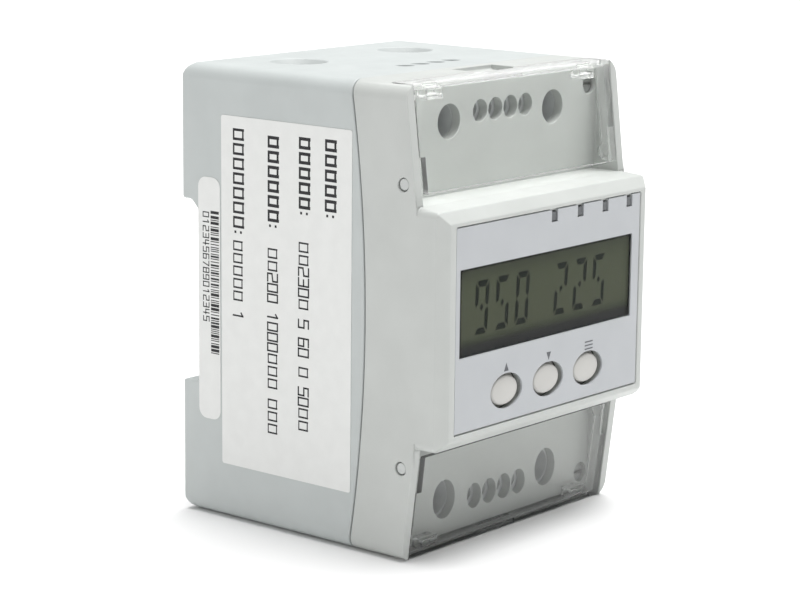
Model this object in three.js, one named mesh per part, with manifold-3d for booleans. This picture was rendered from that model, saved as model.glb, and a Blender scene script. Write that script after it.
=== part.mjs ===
// Single-phase electronic energy meter for a 35 mm rail.
// Units are millimetres, +Z is up and the display faces -Y.
// Every piece is drawn with its depth measured from the bezel's front face (y = 0) towards the rail;
// the group that holds them all is then moved forward by half the depth.

import * as THREE from "three";
import { mergeVertices } from "three/addons/utils/BufferGeometryUtils.js";
import Module from "manifold-3d";

const wasm = await Module();
wasm.setup();

// ---------------------------------------------------------------- driving dimensions

const HALF_WIDTH = 32.4; // shell, centre to side; the stickers stand 0.1 proud of one side
const DEPTH = 65.5; // bezel face to rear face
const HEIGHT = 89;
const MIDDLE = HEIGHT / 2;
const WALL = 2;
const GAP = 0.3; // play between pieces that are fixed together
const EDGE_RADIUS = 3; // the four long edges of the shell
const REAR_RADIUS = 2.75; // top and bottom rear edges

const PARTING_DEPTH = 22.6; // joint between the two shells, at the top and bottom faces
const PARTING_BOW = 3.75; // how far that joint bows forward at mid-height

const NOTCH = { low: 26.5, high: 62.5, floor: 61.5, gusset: 1.7 }; // seat of the rail

const CHEEK = { end: 9.35, inner: 6.64 }; // depth of the side cheeks' front edge
const BEZEL = { low: 22, high: 67, shoulder: 2, faceLow: 24, faceHigh: 64.4, faceHalf: 30.6 };
const BEZEL_INSIDE = { half: 29, back: 6, z: [24, 65] };
const FRONT_WALL = 2.2;
const DECK = { face: 13, back: 15, edge: 87.5 }; // floor that carries the screw access holes
const INSIDE = HALF_WIDTH - WALL;

const OVERLAY = { half: 28.8, low: 25.4, high: 63.6, front: 0.08, back: 0.58, play: 0.15, seat: 0.05 };
const WINDOW = { x: [-27.6, 26.4], z: [39.3, 55.8] };
const BUTTONS = { up: -13.3, down: -0.35, set: 12.5 };
const BUTTON = { z: 31.1, capX: 4.15, capZ: 2.85, holeX: 4.85, holeZ: 3.35, front: 0.25, rim: 0.6, stem: 1.5 };
const KEY = { travel: 0.9, half: 3, plunger: 1.75, rise: 0.5 };
const LIGHTS = { xs: [0.75, 9.03, 17.17, 25.2], half: 0.95, z: [61.25, 63.4], play: 0.15 };
const BOARD_DEPTH = 8.8; // front face of the display board
const BOARD_THICK = 1.6;
const DISPLAY_OPENING = { x: [-28.2, 27.2], z: [37.8, 57.2] };
const PANE = { x: [-27.4, 26.2], depth: [0.2, 0.6], z: [39.5, 55.6] };
const PANEL = { x: [-28, 27], depth: [0.95, 2.75], z: [38, 57] };
const HOLDER = { half: 28.6, front: 3.05, z: [36, 59], rimX: 2, rimZ: 2.4 };
const DISPLAY_BOARD = { half: 28.5, z: [24.4, 64.6] };
const LINK = { half: 12, z: [58, 61], solder: 0.3 };

const COVER = { half: 30.1, inner: 69, thick: 1.2, returnEnd: 14.3, flange: 3.4, flangeThick: 1, lift: 0.05 };
const COVER_EDGE = 0.6; // chamfer between the cover's face and its return
const TRUNNION = { depth: 9.8, z: 70.95, radius: 1.1, hole: 1.3, ear: 1.6, recess: 0.2 };
const LUG = { x: [21.4, 25.8], depth: [9.85, 12.8], z: 85.7 };
const SEAL_HOLE = { depth: 11.5, z: 87, radius: 0.8 };
const EAR_SLOT = { x: [27.2, 28.6], top: 75 };
const FINGER = { outer: [-7.6, 6.6], inner: [-5.6, 4.6], deep: 1.1 }; // notch in the return's rear edge
const SCOOP = { half: 6.2, front: 14.4, back: 20, floor: 1.2, rise: 0.3, slope: 0.3 };

const MAIN = { xs: [-16, 16], z: 80.6, access: 3.3, entry: 4.75, entryDepth: 50 };
const SIGNAL = { xs: [-6.7, -2.05, 2.6, 7.25], z: 81.8, access: 2.15, entry: 1.4, entryDepth: 31 };
const LOWER_STRETCH = 1.14; // the lower access holes are a little taller
const CASE_SCREW = { x: 28, z: 84.1 };
const BOSS = { halfX: 2.6, halfZ: 3, back: 17.5, pocket: 2.2, pocketEnd: 15.5, bore: 1.5 };
const POST = { halfX: 2.7, halfZ: 3.2, front: 24.5, bore: 1.5, boreEnd: 42 };

// Carriers of the terminals, and the pockets in them: way in for the screwdriver, seat of the screw's
// head, bore of its shank, space of the clamp, and slot of the bar or board that runs to it.
const CARRIER = { half: 23.4, back: 58.8, z: [72.6, 86.7] };
const OPEN_TOP = 87; // clamp spaces run out through the carrier's outer end
const MAIN_POCKET = {
  rods: [[3.3, 15, 29], [3.7, 28.6, 32.8], [2.7, 32, 36]],
  cage: { half: 5.6, depth: [35.7, 60], z: [74.8, OPEN_TOP] },
  slot: { half: 3.6, depth: [43.5, 45.9], z: [72, 75] },
};
const SIGNAL_POCKET = {
  rods: [[1.5, 15, 18], [1.85, 17.8, 20.2], [1.3, 20, 22]],
  cage: { half: 1.95, depth: [21.6, 34.8], z: [78.6, OPEN_TOP] },
  slot: { half: 1.2, depth: [27.4, 29.8], z: [72, 79] },
};

const BAR = { half: 3.2, depth: [43.9, 45.4], end: 5, neck: 7, lineNeck: 1.6, neutralNeck: 3 };
const MAIN_BOARD = { half: 27, depth: [27.8, 29.4], end: 17, tongue: 0.9, tongueEnd: 5 };
const SUPPLY_CAPACITOR = { x: [-8, 8], depth: [29.7, 39], z: [46, 64] };
const SMOOTHING_CAPACITOR = { x: -2, z: 32, radius: 4, depth: [29.7, 41] };
const CHIP = { x: [8, 18], depth: [25.6, 27.5], z: [30, 40] };
const RATING_LABEL = { depth: [21.9, 55], z: [11.2, 79.7], radius: 0.5 };
const SERIAL_LABEL = { depth: [55.4, 61.2], z: [19.5, 67.3], radius: 2 };
const STICKER = [0.1, 0.02]; // how far a sticker's outer and inner faces stand off the shell

const OVER = 1; // how far a cutter runs past the face it opens

const ROUND = 9; // half the number of sides of a round outline
const CORNER = 2; // half the number of sides of a rounded corner

// ---------------------------------------------------------------- colours

const FINISH = {
  shell: { color: 0xbcc1c0, roughness: 0.55, metalness: 0 },
  front: { color: 0xd3d4d0, roughness: 0.5, metalness: 0 },
  clear: { color: 0xe6ebe8, roughness: 0.08, metalness: 0, transparent: true, opacity: 0.35 },
  faceplate: { color: 0xc6cacd, roughness: 0.35, metalness: 0.1 },
  display: { color: 0x4f5241, roughness: 0.25, metalness: 0 },
  button: { color: 0xe0ddd5, roughness: 0.45, metalness: 0 },
  sticker: { color: 0xe2e3e1, roughness: 0.6, metalness: 0 },
  board: { color: 0x2f6b45, roughness: 0.5, metalness: 0 },
  black: { color: 0x23262a, roughness: 0.5, metalness: 0 },
  carrier: { color: 0x8f9496, roughness: 0.6, metalness: 0 },
  latch: { color: 0x3a3d40, roughness: 0.5, metalness: 0 },
  brass: { color: 0xb9964f, roughness: 0.35, metalness: 1 },
  steel: { color: 0xb8bbbd, roughness: 0.35, metalness: 1 },
  copper: { color: 0xb87450, roughness: 0.35, metalness: 1 },
  aluminium: { color: 0xa9adb0, roughness: 0.35, metalness: 1 },
};

// ---------------------------------------------------------------- solids

// An outline's two directions, and the direction it is drawn out in, for each axis:
// outlines for "x" hold (y, z), for "y" hold (z, x) and for "z" hold (x, y).
const ALONG = {
  x: new THREE.Matrix4().set(0, 0, 1, 0, 1, 0, 0, 0, 0, 1, 0, 0, 0, 0, 0, 1),
  y: new THREE.Matrix4().set(0, 1, 0, 0, 0, 0, 1, 0, 1, 0, 0, 0, 0, 0, 0, 1),
  z: new THREE.Matrix4(),
};

function toSolid(geometry) {
  geometry.deleteAttribute("normal");
  geometry.deleteAttribute("uv");
  const merged = mergeVertices(geometry, 1e-4);
  return new wasm.Manifold(
    new wasm.Mesh({
      numProp: 3,
      vertProperties: merged.attributes.position.array,
      triVerts: new Uint32Array(merged.index.array),
    }),
  );
}

function toGeometry(solid) {
  const mesh = solid.getMesh();
  const geometry = new THREE.BufferGeometry();
  geometry.setAttribute("position", new THREE.BufferAttribute(mesh.vertProperties, 3));
  geometry.setIndex(new THREE.BufferAttribute(mesh.triVerts, 1));
  geometry.computeVertexNormals();
  return geometry;
}

function block([x0, x1], [y0, y1], [z0, z1]) {
  const box = new THREE.BoxGeometry(x1 - x0, y1 - y0, z1 - z0);
  box.translate((x0 + x1) / 2, (y0 + y1) / 2, (z0 + z1) / 2);
  return toSolid(box);
}

function prism(axis, outline, [from, to], curveSegments = ROUND) {
  const options = { depth: to - from, bevelEnabled: false, curveSegments };
  const drawn = new THREE.ExtrudeGeometry(outline, options);
  drawn.translate(0, 0, from);
  drawn.applyMatrix4(ALONG[axis]);
  return toSolid(drawn);
}

function polygon(points) {
  return new THREE.Shape(points.map(([a, b]) => new THREE.Vector2(a, b)));
}

function oval(a, b, radiusA, radiusB = radiusA) {
  const outline = new THREE.Shape();
  outline.absellipse(a, b, radiusA, radiusB, 0, 2 * Math.PI);
  return outline;
}

// A round bar along the depth at (x, z); its outline holds (z, x).
function rod(x, z, radius, range) {
  return prism("y", oval(z, x, radius), range);
}

function roundedRectangle([a0, a1], [b0, b1], radius) {
  const quarter = Math.PI / 2;
  const outline = new THREE.Shape();
  outline.moveTo(a0 + radius, b0);
  outline.lineTo(a1 - radius, b0);
  outline.absarc(a1 - radius, b0 + radius, radius, -quarter, 0);
  outline.absarc(a1 - radius, b1 - radius, radius, 0, quarter);
  outline.absarc(a0 + radius, b1 - radius, radius, quarter, 2 * quarter);
  outline.absarc(a0 + radius, b0 + radius, radius, 2 * quarter, 3 * quarter);
  return outline;
}

const union = (first, ...rest) => rest.reduce((whole, piece) => whole.add(piece), first);
const carve = (first, ...rest) => rest.reduce((whole, piece) => whole.subtract(piece), first);
const around = (centre, half) => [centre - half, centre + half];

// ---------------------------------------------------------------- assembly

const meter = new THREE.Group();
meter.position.y = -DEPTH / 2;

function place(name, solid, finish) {
  const mesh = new THREE.Mesh(toGeometry(solid), new THREE.MeshStandardMaterial(FINISH[finish]));
  mesh.name = name;
  meter.add(mesh);
  return mesh;
}

// Pieces of the lower terminals mirror those of the upper ones.
function placeBoth(name, solid, finish) {
  place("upper_" + name, solid, finish);
  const lower = place("lower_" + name, solid, finish);
  lower.scale.z = -1;
  lower.position.z = HEIGHT;
}

// ---------------------------------------------------------------- shells

// Depth and height along the joint between the shells, from the bottom face to the top.
function partingLine(shift) {
  const steps = 12;
  const points = [];
  for (let i = 0; i <= steps; i++) {
    const z = (HEIGHT * i) / steps;
    const fromMiddle = (z - MIDDLE) / MIDDLE;
    points.push([PARTING_DEPTH - PARTING_BOW * (1 - fromMiddle ** 2) + shift, z]);
  }
  return points;
}

const ACROSS = [-HALF_WIDTH - OVER, HALF_WIDTH + OVER];

function longEdges(range) {
  const height = [0, HEIGHT];
  const width = [-HALF_WIDTH, HALF_WIDTH];
  return prism("y", roundedRectangle(height, width, EDGE_RADIUS), range, CORNER + 1);
}

function rearHousing() {
  const quarter = Math.PI / 2;
  const side = new THREE.Shape();
  side.moveTo(PARTING_DEPTH, 0);
  side.lineTo(DEPTH - REAR_RADIUS, 0);
  side.absarc(DEPTH - REAR_RADIUS, REAR_RADIUS, REAR_RADIUS, -quarter, 0);
  side.lineTo(DEPTH, NOTCH.low);
  side.lineTo(NOTCH.floor, NOTCH.low);
  side.lineTo(NOTCH.floor, NOTCH.high - NOTCH.gusset);
  side.quadraticCurveTo(
    NOTCH.floor + NOTCH.gusset * 0.6,
    NOTCH.high - NOTCH.gusset * 0.7,
    NOTCH.floor + NOTCH.gusset,
    NOTCH.high,
  );
  side.lineTo(DEPTH, NOTCH.high);
  side.lineTo(DEPTH, HEIGHT - REAR_RADIUS);
  side.absarc(DEPTH - REAR_RADIUS, HEIGHT - REAR_RADIUS, REAR_RADIUS, 0, quarter);
  for (const [depth, z] of partingLine(0).reverse()) side.lineTo(depth, z);

  const start = PARTING_DEPTH - 2 * PARTING_BOW; // ahead of the whole joint
  let shell = longEdges([start, DEPTH]).intersect(prism("x", side, ACROSS, CORNER + 1));
  const cavity = block([-INSIDE, INSIDE], [start, NOTCH.floor - WALL], [WALL, HEIGHT - WALL]);
  shell = shell.subtract(cavity);

  // Posts in the four corners take the case screws.
  for (const x of [-CASE_SCREW.x, CASE_SCREW.x]) {
    for (const z of [CASE_SCREW.z, HEIGHT - CASE_SCREW.z]) {
      const post = block(around(x, POST.halfX), [POST.front, NOTCH.floor], around(z, POST.halfZ));
      shell = shell.add(post).subtract(rod(x, z, POST.bore, [POST.front - OVER, POST.boreEnd]));
    }
  }

  // Cable entries through the top and bottom walls.
  for (const { xs, entry, entryDepth } of [MAIN, SIGNAL]) {
    for (const x of xs) {
      for (const z of [[-OVER, WALL + OVER], [HEIGHT - WALL - OVER, HEIGHT + OVER]]) {
        shell = shell.subtract(prism("z", oval(x, entryDepth, entry), z));
      }
    }
  }
  return shell;
}

const LATCH = { half: 7, wing: 9, front: 62.3, step: 63.5, back: 64.9, foot: 0.6, nose: 29, play: 0.4 };
const LATCH_NOSE = { back: 0.7, tip: 1.4, start: 2, rise: 0.6 };
const LATCH_WINDOW = { half: 2.8, z: [5.2, 20.2] };
const LATCH_SLOT = { half: 3, deep: 1.2, z: [1.8, 3.6] }; // for a screwdriver's blade
const PEG = { half: 2.2, z: [5.8, 8] };
const SPRING = { wire: 0.3, radius: 1, turns: 6, gap: 0.1 };

// The latch runs in a stepped groove, open to the rear, with a peg in it for the spring.
function latchGroove() {
  const { play } = LATCH;
  const z = [-OVER, NOTCH.low + OVER];
  const wide = block(around(0, LATCH.wing + play), [LATCH.front - play, LATCH.step + play], z);
  const narrow = block(around(0, LATCH.half + play), [LATCH.step, DEPTH + OVER], z);
  const peg = block(around(0, PEG.half), [LATCH.front - OVER, LATCH.back - play], PEG.z);
  return union(wide, narrow).subtract(peg);
}

function railLatch() {
  const nose = [
    [LATCH.front + LATCH_NOSE.back, NOTCH.low - LATCH_NOSE.start],
    [LATCH.back, NOTCH.low - LATCH_NOSE.start],
    [LATCH.back, NOTCH.low + LATCH_NOSE.rise],
    [LATCH.front + LATCH_NOSE.tip, LATCH.nose],
    [LATCH.front + LATCH_NOSE.back, LATCH.nose],
  ];
  const body = [LATCH.foot, NOTCH.low - 1];
  return carve(
    union(
      block(around(0, LATCH.half), [LATCH.front, LATCH.back], body),
      block(around(0, LATCH.wing), [LATCH.front, LATCH.step], body),
      prism("x", polygon(nose), around(0, LATCH.half)),
    ),
    block(around(0, LATCH_WINDOW.half), [LATCH.front - OVER, LATCH.back + OVER], LATCH_WINDOW.z),
    block(around(0, LATCH_SLOT.half), [LATCH.back - LATCH_SLOT.deep, LATCH.back + OVER], LATCH_SLOT.z),
  );
}

class Helix extends THREE.Curve {
  constructor(radius, turns, low, high) {
    super();
    Object.assign(this, { radius, turns, low, high });
  }
  getPoint(t, target = new THREE.Vector3()) {
    const angle = 2 * Math.PI * this.turns * t;
    const z = this.low + (this.high - this.low) * t;
    return target.set(this.radius * Math.cos(angle), this.radius * Math.sin(angle), z);
  }
}

// Wound round the depth at which the latch runs; its ends rest on the peg and the window's edge.
function latchSpring() {
  const { wire, radius, turns, gap } = SPRING;
  const middle = (LATCH.front + LATCH.back) / 2;
  const path = new Helix(radius, turns, PEG.z[1] + wire + gap, LATCH_WINDOW.z[1] - wire - gap);
  const wound = new THREE.ExtrudeGeometry(oval(0, 0, wire), {
    steps: turns * 10,
    curveSegments: 3,
    bevelEnabled: false,
    extrudePath: path,
  });
  wound.translate(0, middle, 0);
  return toSolid(wound);
}

function frontProfile() {
  const rear = partingLine(-GAP).reverse();
  return polygon([
    [CHEEK.end, 0],
    [CHEEK.inner, BEZEL.low],
    [BEZEL.shoulder + 0.5, BEZEL.low],
    [0, BEZEL.faceLow],
    [0, BEZEL.faceHigh],
    [BEZEL.shoulder, BEZEL.high - 0.4],
    [CHEEK.inner, BEZEL.high],
    [CHEEK.end, HEIGHT],
    ...rear,
  ]);
}

// Bay for one terminal cover, between the cheeks, with the recess for the cover's return and the
// finger scoop behind it.
function coverBay() {
  const top = HEIGHT + OVER;
  const scoop = [
    [SCOOP.front, top],
    [SCOOP.front, HEIGHT - SCOOP.floor],
    [SCOOP.back, HEIGHT - SCOOP.floor + SCOOP.rise],
    [SCOOP.back + SCOOP.slope, top],
  ];
  return union(
    block([-INSIDE, INSIDE], [-OVER, DECK.face], [BEZEL.high, top]),
    block([-INSIDE, INSIDE], [DECK.face - OVER, COVER.returnEnd + GAP], [DECK.edge, top]),
    prism("x", polygon(scoop), around(0, SCOOP.half)),
  );
}

// Access holes of one deck; heightScale stretches them along Z.
function deckHoles(heightScale) {
  const through = [DECK.face - OVER, DECK.back + OVER];
  const holes = [];
  for (const { xs, z, access } of [MAIN, SIGNAL]) {
    for (const x of xs) holes.push(prism("y", oval(z, x, access * heightScale, access), through));
  }
  return union(...holes);
}

function flip(solid) {
  const geometry = toGeometry(solid);
  geometry.scale(1, 1, -1);
  geometry.translate(0, 0, HEIGHT);
  const order = geometry.index.array;
  for (let i = 0; i < order.length; i += 3) [order[i], order[i + 1]] = [order[i + 1], order[i]];
  return toSolid(geometry);
}

function frontCover() {
  let cover = longEdges([-OVER, PARTING_DEPTH]).intersect(prism("x", frontProfile(), ACROSS));

  // Chamfers down both sides of the bezel.
  const slope = (HALF_WIDTH - BEZEL.faceHalf) / BEZEL.shoulder;
  for (const side of [-1, 1]) {
    const wedge = polygon([
      [side * (BEZEL.faceHalf - slope), -OVER],
      [side * (HALF_WIDTH + OVER), -OVER],
      [side * (HALF_WIDTH + OVER), BEZEL.shoulder + OVER / slope],
    ]);
    cover = cover.subtract(prism("z", wedge, [0, HEIGHT]));
  }

  // Inside of the bezel, then the space behind the decks.
  cover = carve(
    cover,
    block(around(0, BEZEL_INSIDE.half), [FRONT_WALL, BEZEL_INSIDE.back + OVER], BEZEL_INSIDE.z),
    block([-INSIDE, INSIDE], [BEZEL_INSIDE.back, PARTING_DEPTH], BEZEL_INSIDE.z),
    block([-INSIDE, INSIDE], [DECK.back, PARTING_DEPTH + OVER], [WALL, HEIGHT - WALL]),
    coverBay(),
    flip(coverBay()),
  );

  // Bosses for the case screws, counterbored from the deck's face.
  for (const x of [-CASE_SCREW.x, CASE_SCREW.x]) {
    for (const z of [CASE_SCREW.z, HEIGHT - CASE_SCREW.z]) {
      const boss = block(around(x, BOSS.halfX), [DECK.back - OVER, BOSS.back], around(z, BOSS.halfZ));
      cover = carve(
        cover.add(boss),
        rod(x, z, BOSS.pocket, [DECK.face - OVER, BOSS.pocketEnd]),
        rod(x, z, BOSS.bore, [DECK.back, BOSS.back + OVER]),
      );
    }
  }

  cover = carve(cover, deckHoles(1), flip(deckHoles(LOWER_STRETCH)));

  // Trunnion holes through the cheeks.
  for (const z of [TRUNNION.z, HEIGHT - TRUNNION.z]) {
    const hole = oval(TRUNNION.depth, z, TRUNNION.hole);
    cover = cover.subtract(prism("x", hole, ACROSS));
  }

  // Recess of the faceplate, and the openings behind it.
  const { half, low, high, play, back, seat } = OVERLAY;
  const through = [0, FRONT_WALL + OVER];
  cover = carve(
    cover,
    block(around(0, half + play), [-OVER, back + seat], [low - play, high + play]),
    block(DISPLAY_OPENING.x, through, DISPLAY_OPENING.z),
    ...Object.values(BUTTONS).map((x) => buttonHole(x)),
    ...LIGHTS.xs.map((x) => block(around(x, LIGHTS.half), through, LIGHTS.z)),
  );
  return cover;
}

function buttonHole(x) {
  return prism("y", oval(BUTTON.z, x, BUTTON.holeZ, BUTTON.holeX), [-OVER, FRONT_WALL + OVER]);
}

// ---------------------------------------------------------------- terminal covers

// Depth of the cheeks' front edge at height z, in the upper half.
function cheekDepth(z) {
  return CHEEK.inner + ((CHEEK.end - CHEEK.inner) * (z - BEZEL.high)) / (HEIGHT - BEZEL.high);
}

function terminalCover() {
  const inner = COVER.inner;
  const under = HEIGHT - COVER.thick;
  const face = (z) => cheekDepth(z) + COVER.lift;
  const shell = polygon([
    [face(inner), inner],
    [face(HEIGHT - COVER_EDGE), HEIGHT - COVER_EDGE],
    [face(HEIGHT) + COVER_EDGE, HEIGHT],
    [COVER.returnEnd, HEIGHT],
    [COVER.returnEnd, under],
    [face(under) + COVER.thick, under],
    [face(inner) + COVER.thick, inner],
  ]);
  const sunk = COVER.thick / 2; // the flange and the lugs start inside the cover's wall
  const flange = polygon([
    [face(inner) + sunk, inner],
    [face(HEIGHT) + sunk, HEIGHT - sunk],
    [face(HEIGHT) + COVER.flange, HEIGHT - sunk],
    [face(inner) + COVER.flange, inner],
  ]);
  const pieces = [prism("x", shell, [-COVER.half, COVER.half])];
  const cuts = [];
  for (const side of [-1, 1]) {
    const across = (a, b) => [side * a, side * b].sort((p, q) => p - q);
    const axle = oval(TRUNNION.depth, TRUNNION.z, TRUNNION.radius);
    const ear = oval(TRUNNION.depth, TRUNNION.z, TRUNNION.ear);
    const edge = across(COVER.half - COVER.flangeThick, COVER.half);
    pieces.push(prism("x", flange, edge));
    pieces.push(prism("x", ear, edge));
    pieces.push(prism("x", axle, across(COVER.half - sunk, HALF_WIDTH - TRUNNION.recess)));
    pieces.push(block(across(...LUG.x), LUG.depth, [LUG.z, HEIGHT - sunk]));
    // Slot that lets the ear spring inward, and the sealing wire's hole through the lug.
    cuts.push(block(across(...EAR_SLOT.x), [0, DECK.face], [inner - OVER, EAR_SLOT.top]));
    const seal = oval(SEAL_HOLE.depth, SEAL_HOLE.z, SEAL_HOLE.radius);
    cuts.push(prism("x", seal, across(LUG.x[0] - OVER, LUG.x[1] + OVER)));
  }
  const notch = polygon([
    [FINGER.outer[0], COVER.returnEnd + OVER],
    [FINGER.inner[0], COVER.returnEnd - FINGER.deep],
    [FINGER.inner[1], COVER.returnEnd - FINGER.deep],
    [FINGER.outer[1], COVER.returnEnd + OVER],
  ]);
  cuts.push(prism("z", notch, [under - OVER, HEIGHT + OVER]));
  return carve(union(...pieces), ...cuts);
}

// ---------------------------------------------------------------- faceplate and keys

function displayOverlay() {
  const range = [OVERLAY.front, OVERLAY.back];
  const through = [OVERLAY.front - OVER, OVERLAY.back + OVER];
  return carve(
    block([-OVERLAY.half, OVERLAY.half], range, [OVERLAY.low, OVERLAY.high]),
    block(WINDOW.x, through, WINDOW.z),
    ...Object.values(BUTTONS).map((x) => buttonHole(x)),
    ...LIGHTS.xs.map((x) => block(around(x, LIGHTS.half), through, [LIGHTS.z[0], LIGHTS.z[1] + OVER])),
  );
}

const RIM_END = FRONT_WALL + 1.1; // rear face of the button's rim
const STEM_END = FRONT_WALL + 2;

function pushButton(x) {
  const { z, rim } = BUTTON;
  return union(
    prism("y", oval(z, x, BUTTON.capZ, BUTTON.capX), [BUTTON.front, RIM_END - GAP]),
    prism("y", oval(z, x, BUTTON.holeZ + rim, BUTTON.holeX + rim), [FRONT_WALL + GAP, RIM_END]),
    rod(x, z, BUTTON.stem, [RIM_END - 0.1, STEM_END]),
  );
}

function keySwitch(x) {
  const top = STEM_END + KEY.travel;
  return union(
    block(around(x, KEY.half), [top + KEY.rise, BOARD_DEPTH - GAP], around(BUTTON.z, KEY.half)),
    rod(x, BUTTON.z, KEY.plunger, [top, top + 2 * KEY.rise]),
  );
}

// ---------------------------------------------------------------- terminals

function terminalBlock() {
  const cuts = [];
  for (const [{ xs, z }, { rods, cage, slot }] of [[MAIN, MAIN_POCKET], [SIGNAL, SIGNAL_POCKET]]) {
    for (const x of xs) {
      for (const [radius, from, to] of rods) cuts.push(rod(x, z, radius, [from, to]));
      for (const { half, depth, z: height } of [cage, slot]) cuts.push(block(around(x, half), depth, height));
    }
  }
  return carve(block(around(0, CARRIER.half), [DECK.back + GAP, CARRIER.back], CARRIER.z), ...cuts);
}

// Rectangular cage with a conductor space along Z; the screw's tapped hole is in its front wall.
function clamp({ halfX, side, halfZ, front, back, wall, hole }) {
  return carve(
    block(around(0, halfX), [front, back], around(0, halfZ)),
    block(around(0, halfX - side), [front + wall, back - wall], around(0, halfZ + OVER)),
    rod(0, 0, hole, [front - OVER, front + wall + OVER]),
  );
}

const SLOT_DEPTH = 1.3; // of a screw's slot, in slot widths

function slottedScrew({ head, shank, top, neck, tip, slot }) {
  return carve(
    union(rod(0, 0, head, [top, neck]), rod(0, 0, shank, [(top + neck) / 2, tip])),
    block(around(0, head + OVER), [top - OVER, top + slot * SLOT_DEPTH], around(0, slot / 2)),
  );
}

const MAIN_CLAMP = { halfX: 5.2, side: 1.3, halfZ: 5.2, front: 42, back: 57, wall: 1.6, hole: 2.6 };
const MAIN_SCREW = { head: 3.4, shank: 2.3, top: 29, neck: 32.4, tip: 43.5, slot: 1.1 };
const SIGNAL_CLAMP = { halfX: 1.7, side: 0.6, halfZ: 2.6, front: 25, back: 34.3, wall: 1, hole: 1.2 };
const SIGNAL_SCREW = { head: 1.6, shank: 1, top: 18.1, neck: 19.8, tip: 27.3, slot: 0.6 };

function placeTerminals(kind, { xs, z }, clampSize, screwSize) {
  xs.forEach((x, i) => {
    for (const [level, height] of [["upper", z], ["lower", HEIGHT - z]]) {
      const label = `${kind}_${level}_${i + 1}`;
      const cage = place(label.replace(kind, kind + "_clamp"), clamp(clampSize), "brass");
      const screw = place(label.replace(kind, kind + "_screw"), slottedScrew(screwSize), "steel");
      cage.position.set(x, 0, height);
      screw.position.set(x, 0, height);
    }
  });
}

// Flat bar from the lower to the upper clamp; the shunt is necked down at mid-height.
function mainBar(x, neckHalf) {
  const { half, depth, end, neck } = BAR;
  const through = [depth[0] - OVER, depth[1] + OVER];
  return carve(
    block(around(x, half), depth, [end, HEIGHT - end]),
    block([x - half - OVER, x - neckHalf], through, around(MIDDLE, neck)),
    block([x + neckHalf, x + half + OVER], through, around(MIDDLE, neck)),
  );
}

// The tongues of the main board reach the signal clamps.
function mainBoard() {
  const { half, depth, end, tongue, tongueEnd } = MAIN_BOARD;
  const tongues = SIGNAL.xs.map((x) => block(around(x, tongue), depth, [tongueEnd, HEIGHT - tongueEnd]));
  return union(block(around(0, half), depth, [end, HEIGHT - end]), ...tongues);
}

function lcdHolder() {
  const { half, front, z, rimX, rimZ } = HOLDER;
  return carve(
    block(around(0, half), [front, BOARD_DEPTH - GAP], z),
    block(around(0, half - rimX), [front - OVER, BOARD_DEPTH], [z[0] + rimZ, z[1] - rimZ]),
  );
}

const CASE_SCREW_SIZE = { head: 1.95, shank: 1.2, top: 13.7, neck: 15.2, tip: 38, slot: 0.6 };

function sticker({ depth, z, radius }) {
  const [outer, inner] = STICKER;
  return prism("x", roundedRectangle(depth, z, radius), [-HALF_WIDTH - outer, -HALF_WIDTH - inner], CORNER);
}

// ---------------------------------------------------------------- the pieces

place("rear_housing", rearHousing().subtract(latchGroove()), "shell");
place("front_cover", frontCover(), "front");
placeBoth("terminal_cover", terminalCover(), "clear");

place("display_overlay", displayOverlay(), "faceplate");
place("lcd_window", block(PANE.x, PANE.depth, PANE.z), "clear");
place("lcd_panel", block(PANEL.x, PANEL.depth, PANEL.z), "display");
place("lcd_holder", lcdHolder(), "black");
const boardBack = BOARD_DEPTH + BOARD_THICK;
const displayBoard = block(around(0, DISPLAY_BOARD.half), [BOARD_DEPTH, boardBack], DISPLAY_BOARD.z);
place("display_board", displayBoard, "board");
const linkDepth = [boardBack + LINK.solder, MAIN_BOARD.depth[0] - LINK.solder];
place("board_link", block(around(0, LINK.half), linkDepth, LINK.z), "black");

for (const [key, x] of Object.entries(BUTTONS)) {
  place("button_" + key, pushButton(x), "button");
  place("key_switch_" + key, keySwitch(x), "black");
}
LIGHTS.xs.forEach((x, i) => {
  const { play, half } = LIGHTS;
  const z = [LIGHTS.z[0] + play, LIGHTS.z[1] - play];
  place(`pulse_light_${i + 1}`, block(around(x, half - play), [play, BOARD_DEPTH - GAP], z), "black");
});

placeBoth("terminal_block", terminalBlock(), "carrier");
placeTerminals("main", MAIN, MAIN_CLAMP, MAIN_SCREW);
placeTerminals("signal", SIGNAL, SIGNAL_CLAMP, SIGNAL_SCREW);
place("line_shunt", mainBar(MAIN.xs[0], BAR.lineNeck), "copper");
place("neutral_bar", mainBar(MAIN.xs[1], BAR.neutralNeck), "copper");

const can = SMOOTHING_CAPACITOR;
place("main_board", mainBoard(), "board");
place("supply_capacitor", block(SUPPLY_CAPACITOR.x, SUPPLY_CAPACITOR.depth, SUPPLY_CAPACITOR.z), "black");
place("smoothing_capacitor", rod(can.x, can.z, can.radius, can.depth), "aluminium");
place("metering_chip", block(CHIP.x, CHIP.depth, CHIP.z), "black");

for (const [side, x] of [["left", -CASE_SCREW.x], ["right", CASE_SCREW.x]]) {
  for (const [level, z] of [["upper", CASE_SCREW.z], ["lower", HEIGHT - CASE_SCREW.z]]) {
    place(`case_screw_${level}_${side}`, slottedScrew(CASE_SCREW_SIZE), "steel").position.set(x, 0, z);
  }
}

place("rail_latch", railLatch(), "latch");
place("latch_spring", latchSpring(), "steel");
place("rating_label", sticker(RATING_LABEL), "sticker");
place("serial_label", sticker(SERIAL_LABEL), "sticker");

export default meter;
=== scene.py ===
import math
import random

import bmesh
import bpy
from mathutils import Matrix, Vector


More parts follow.
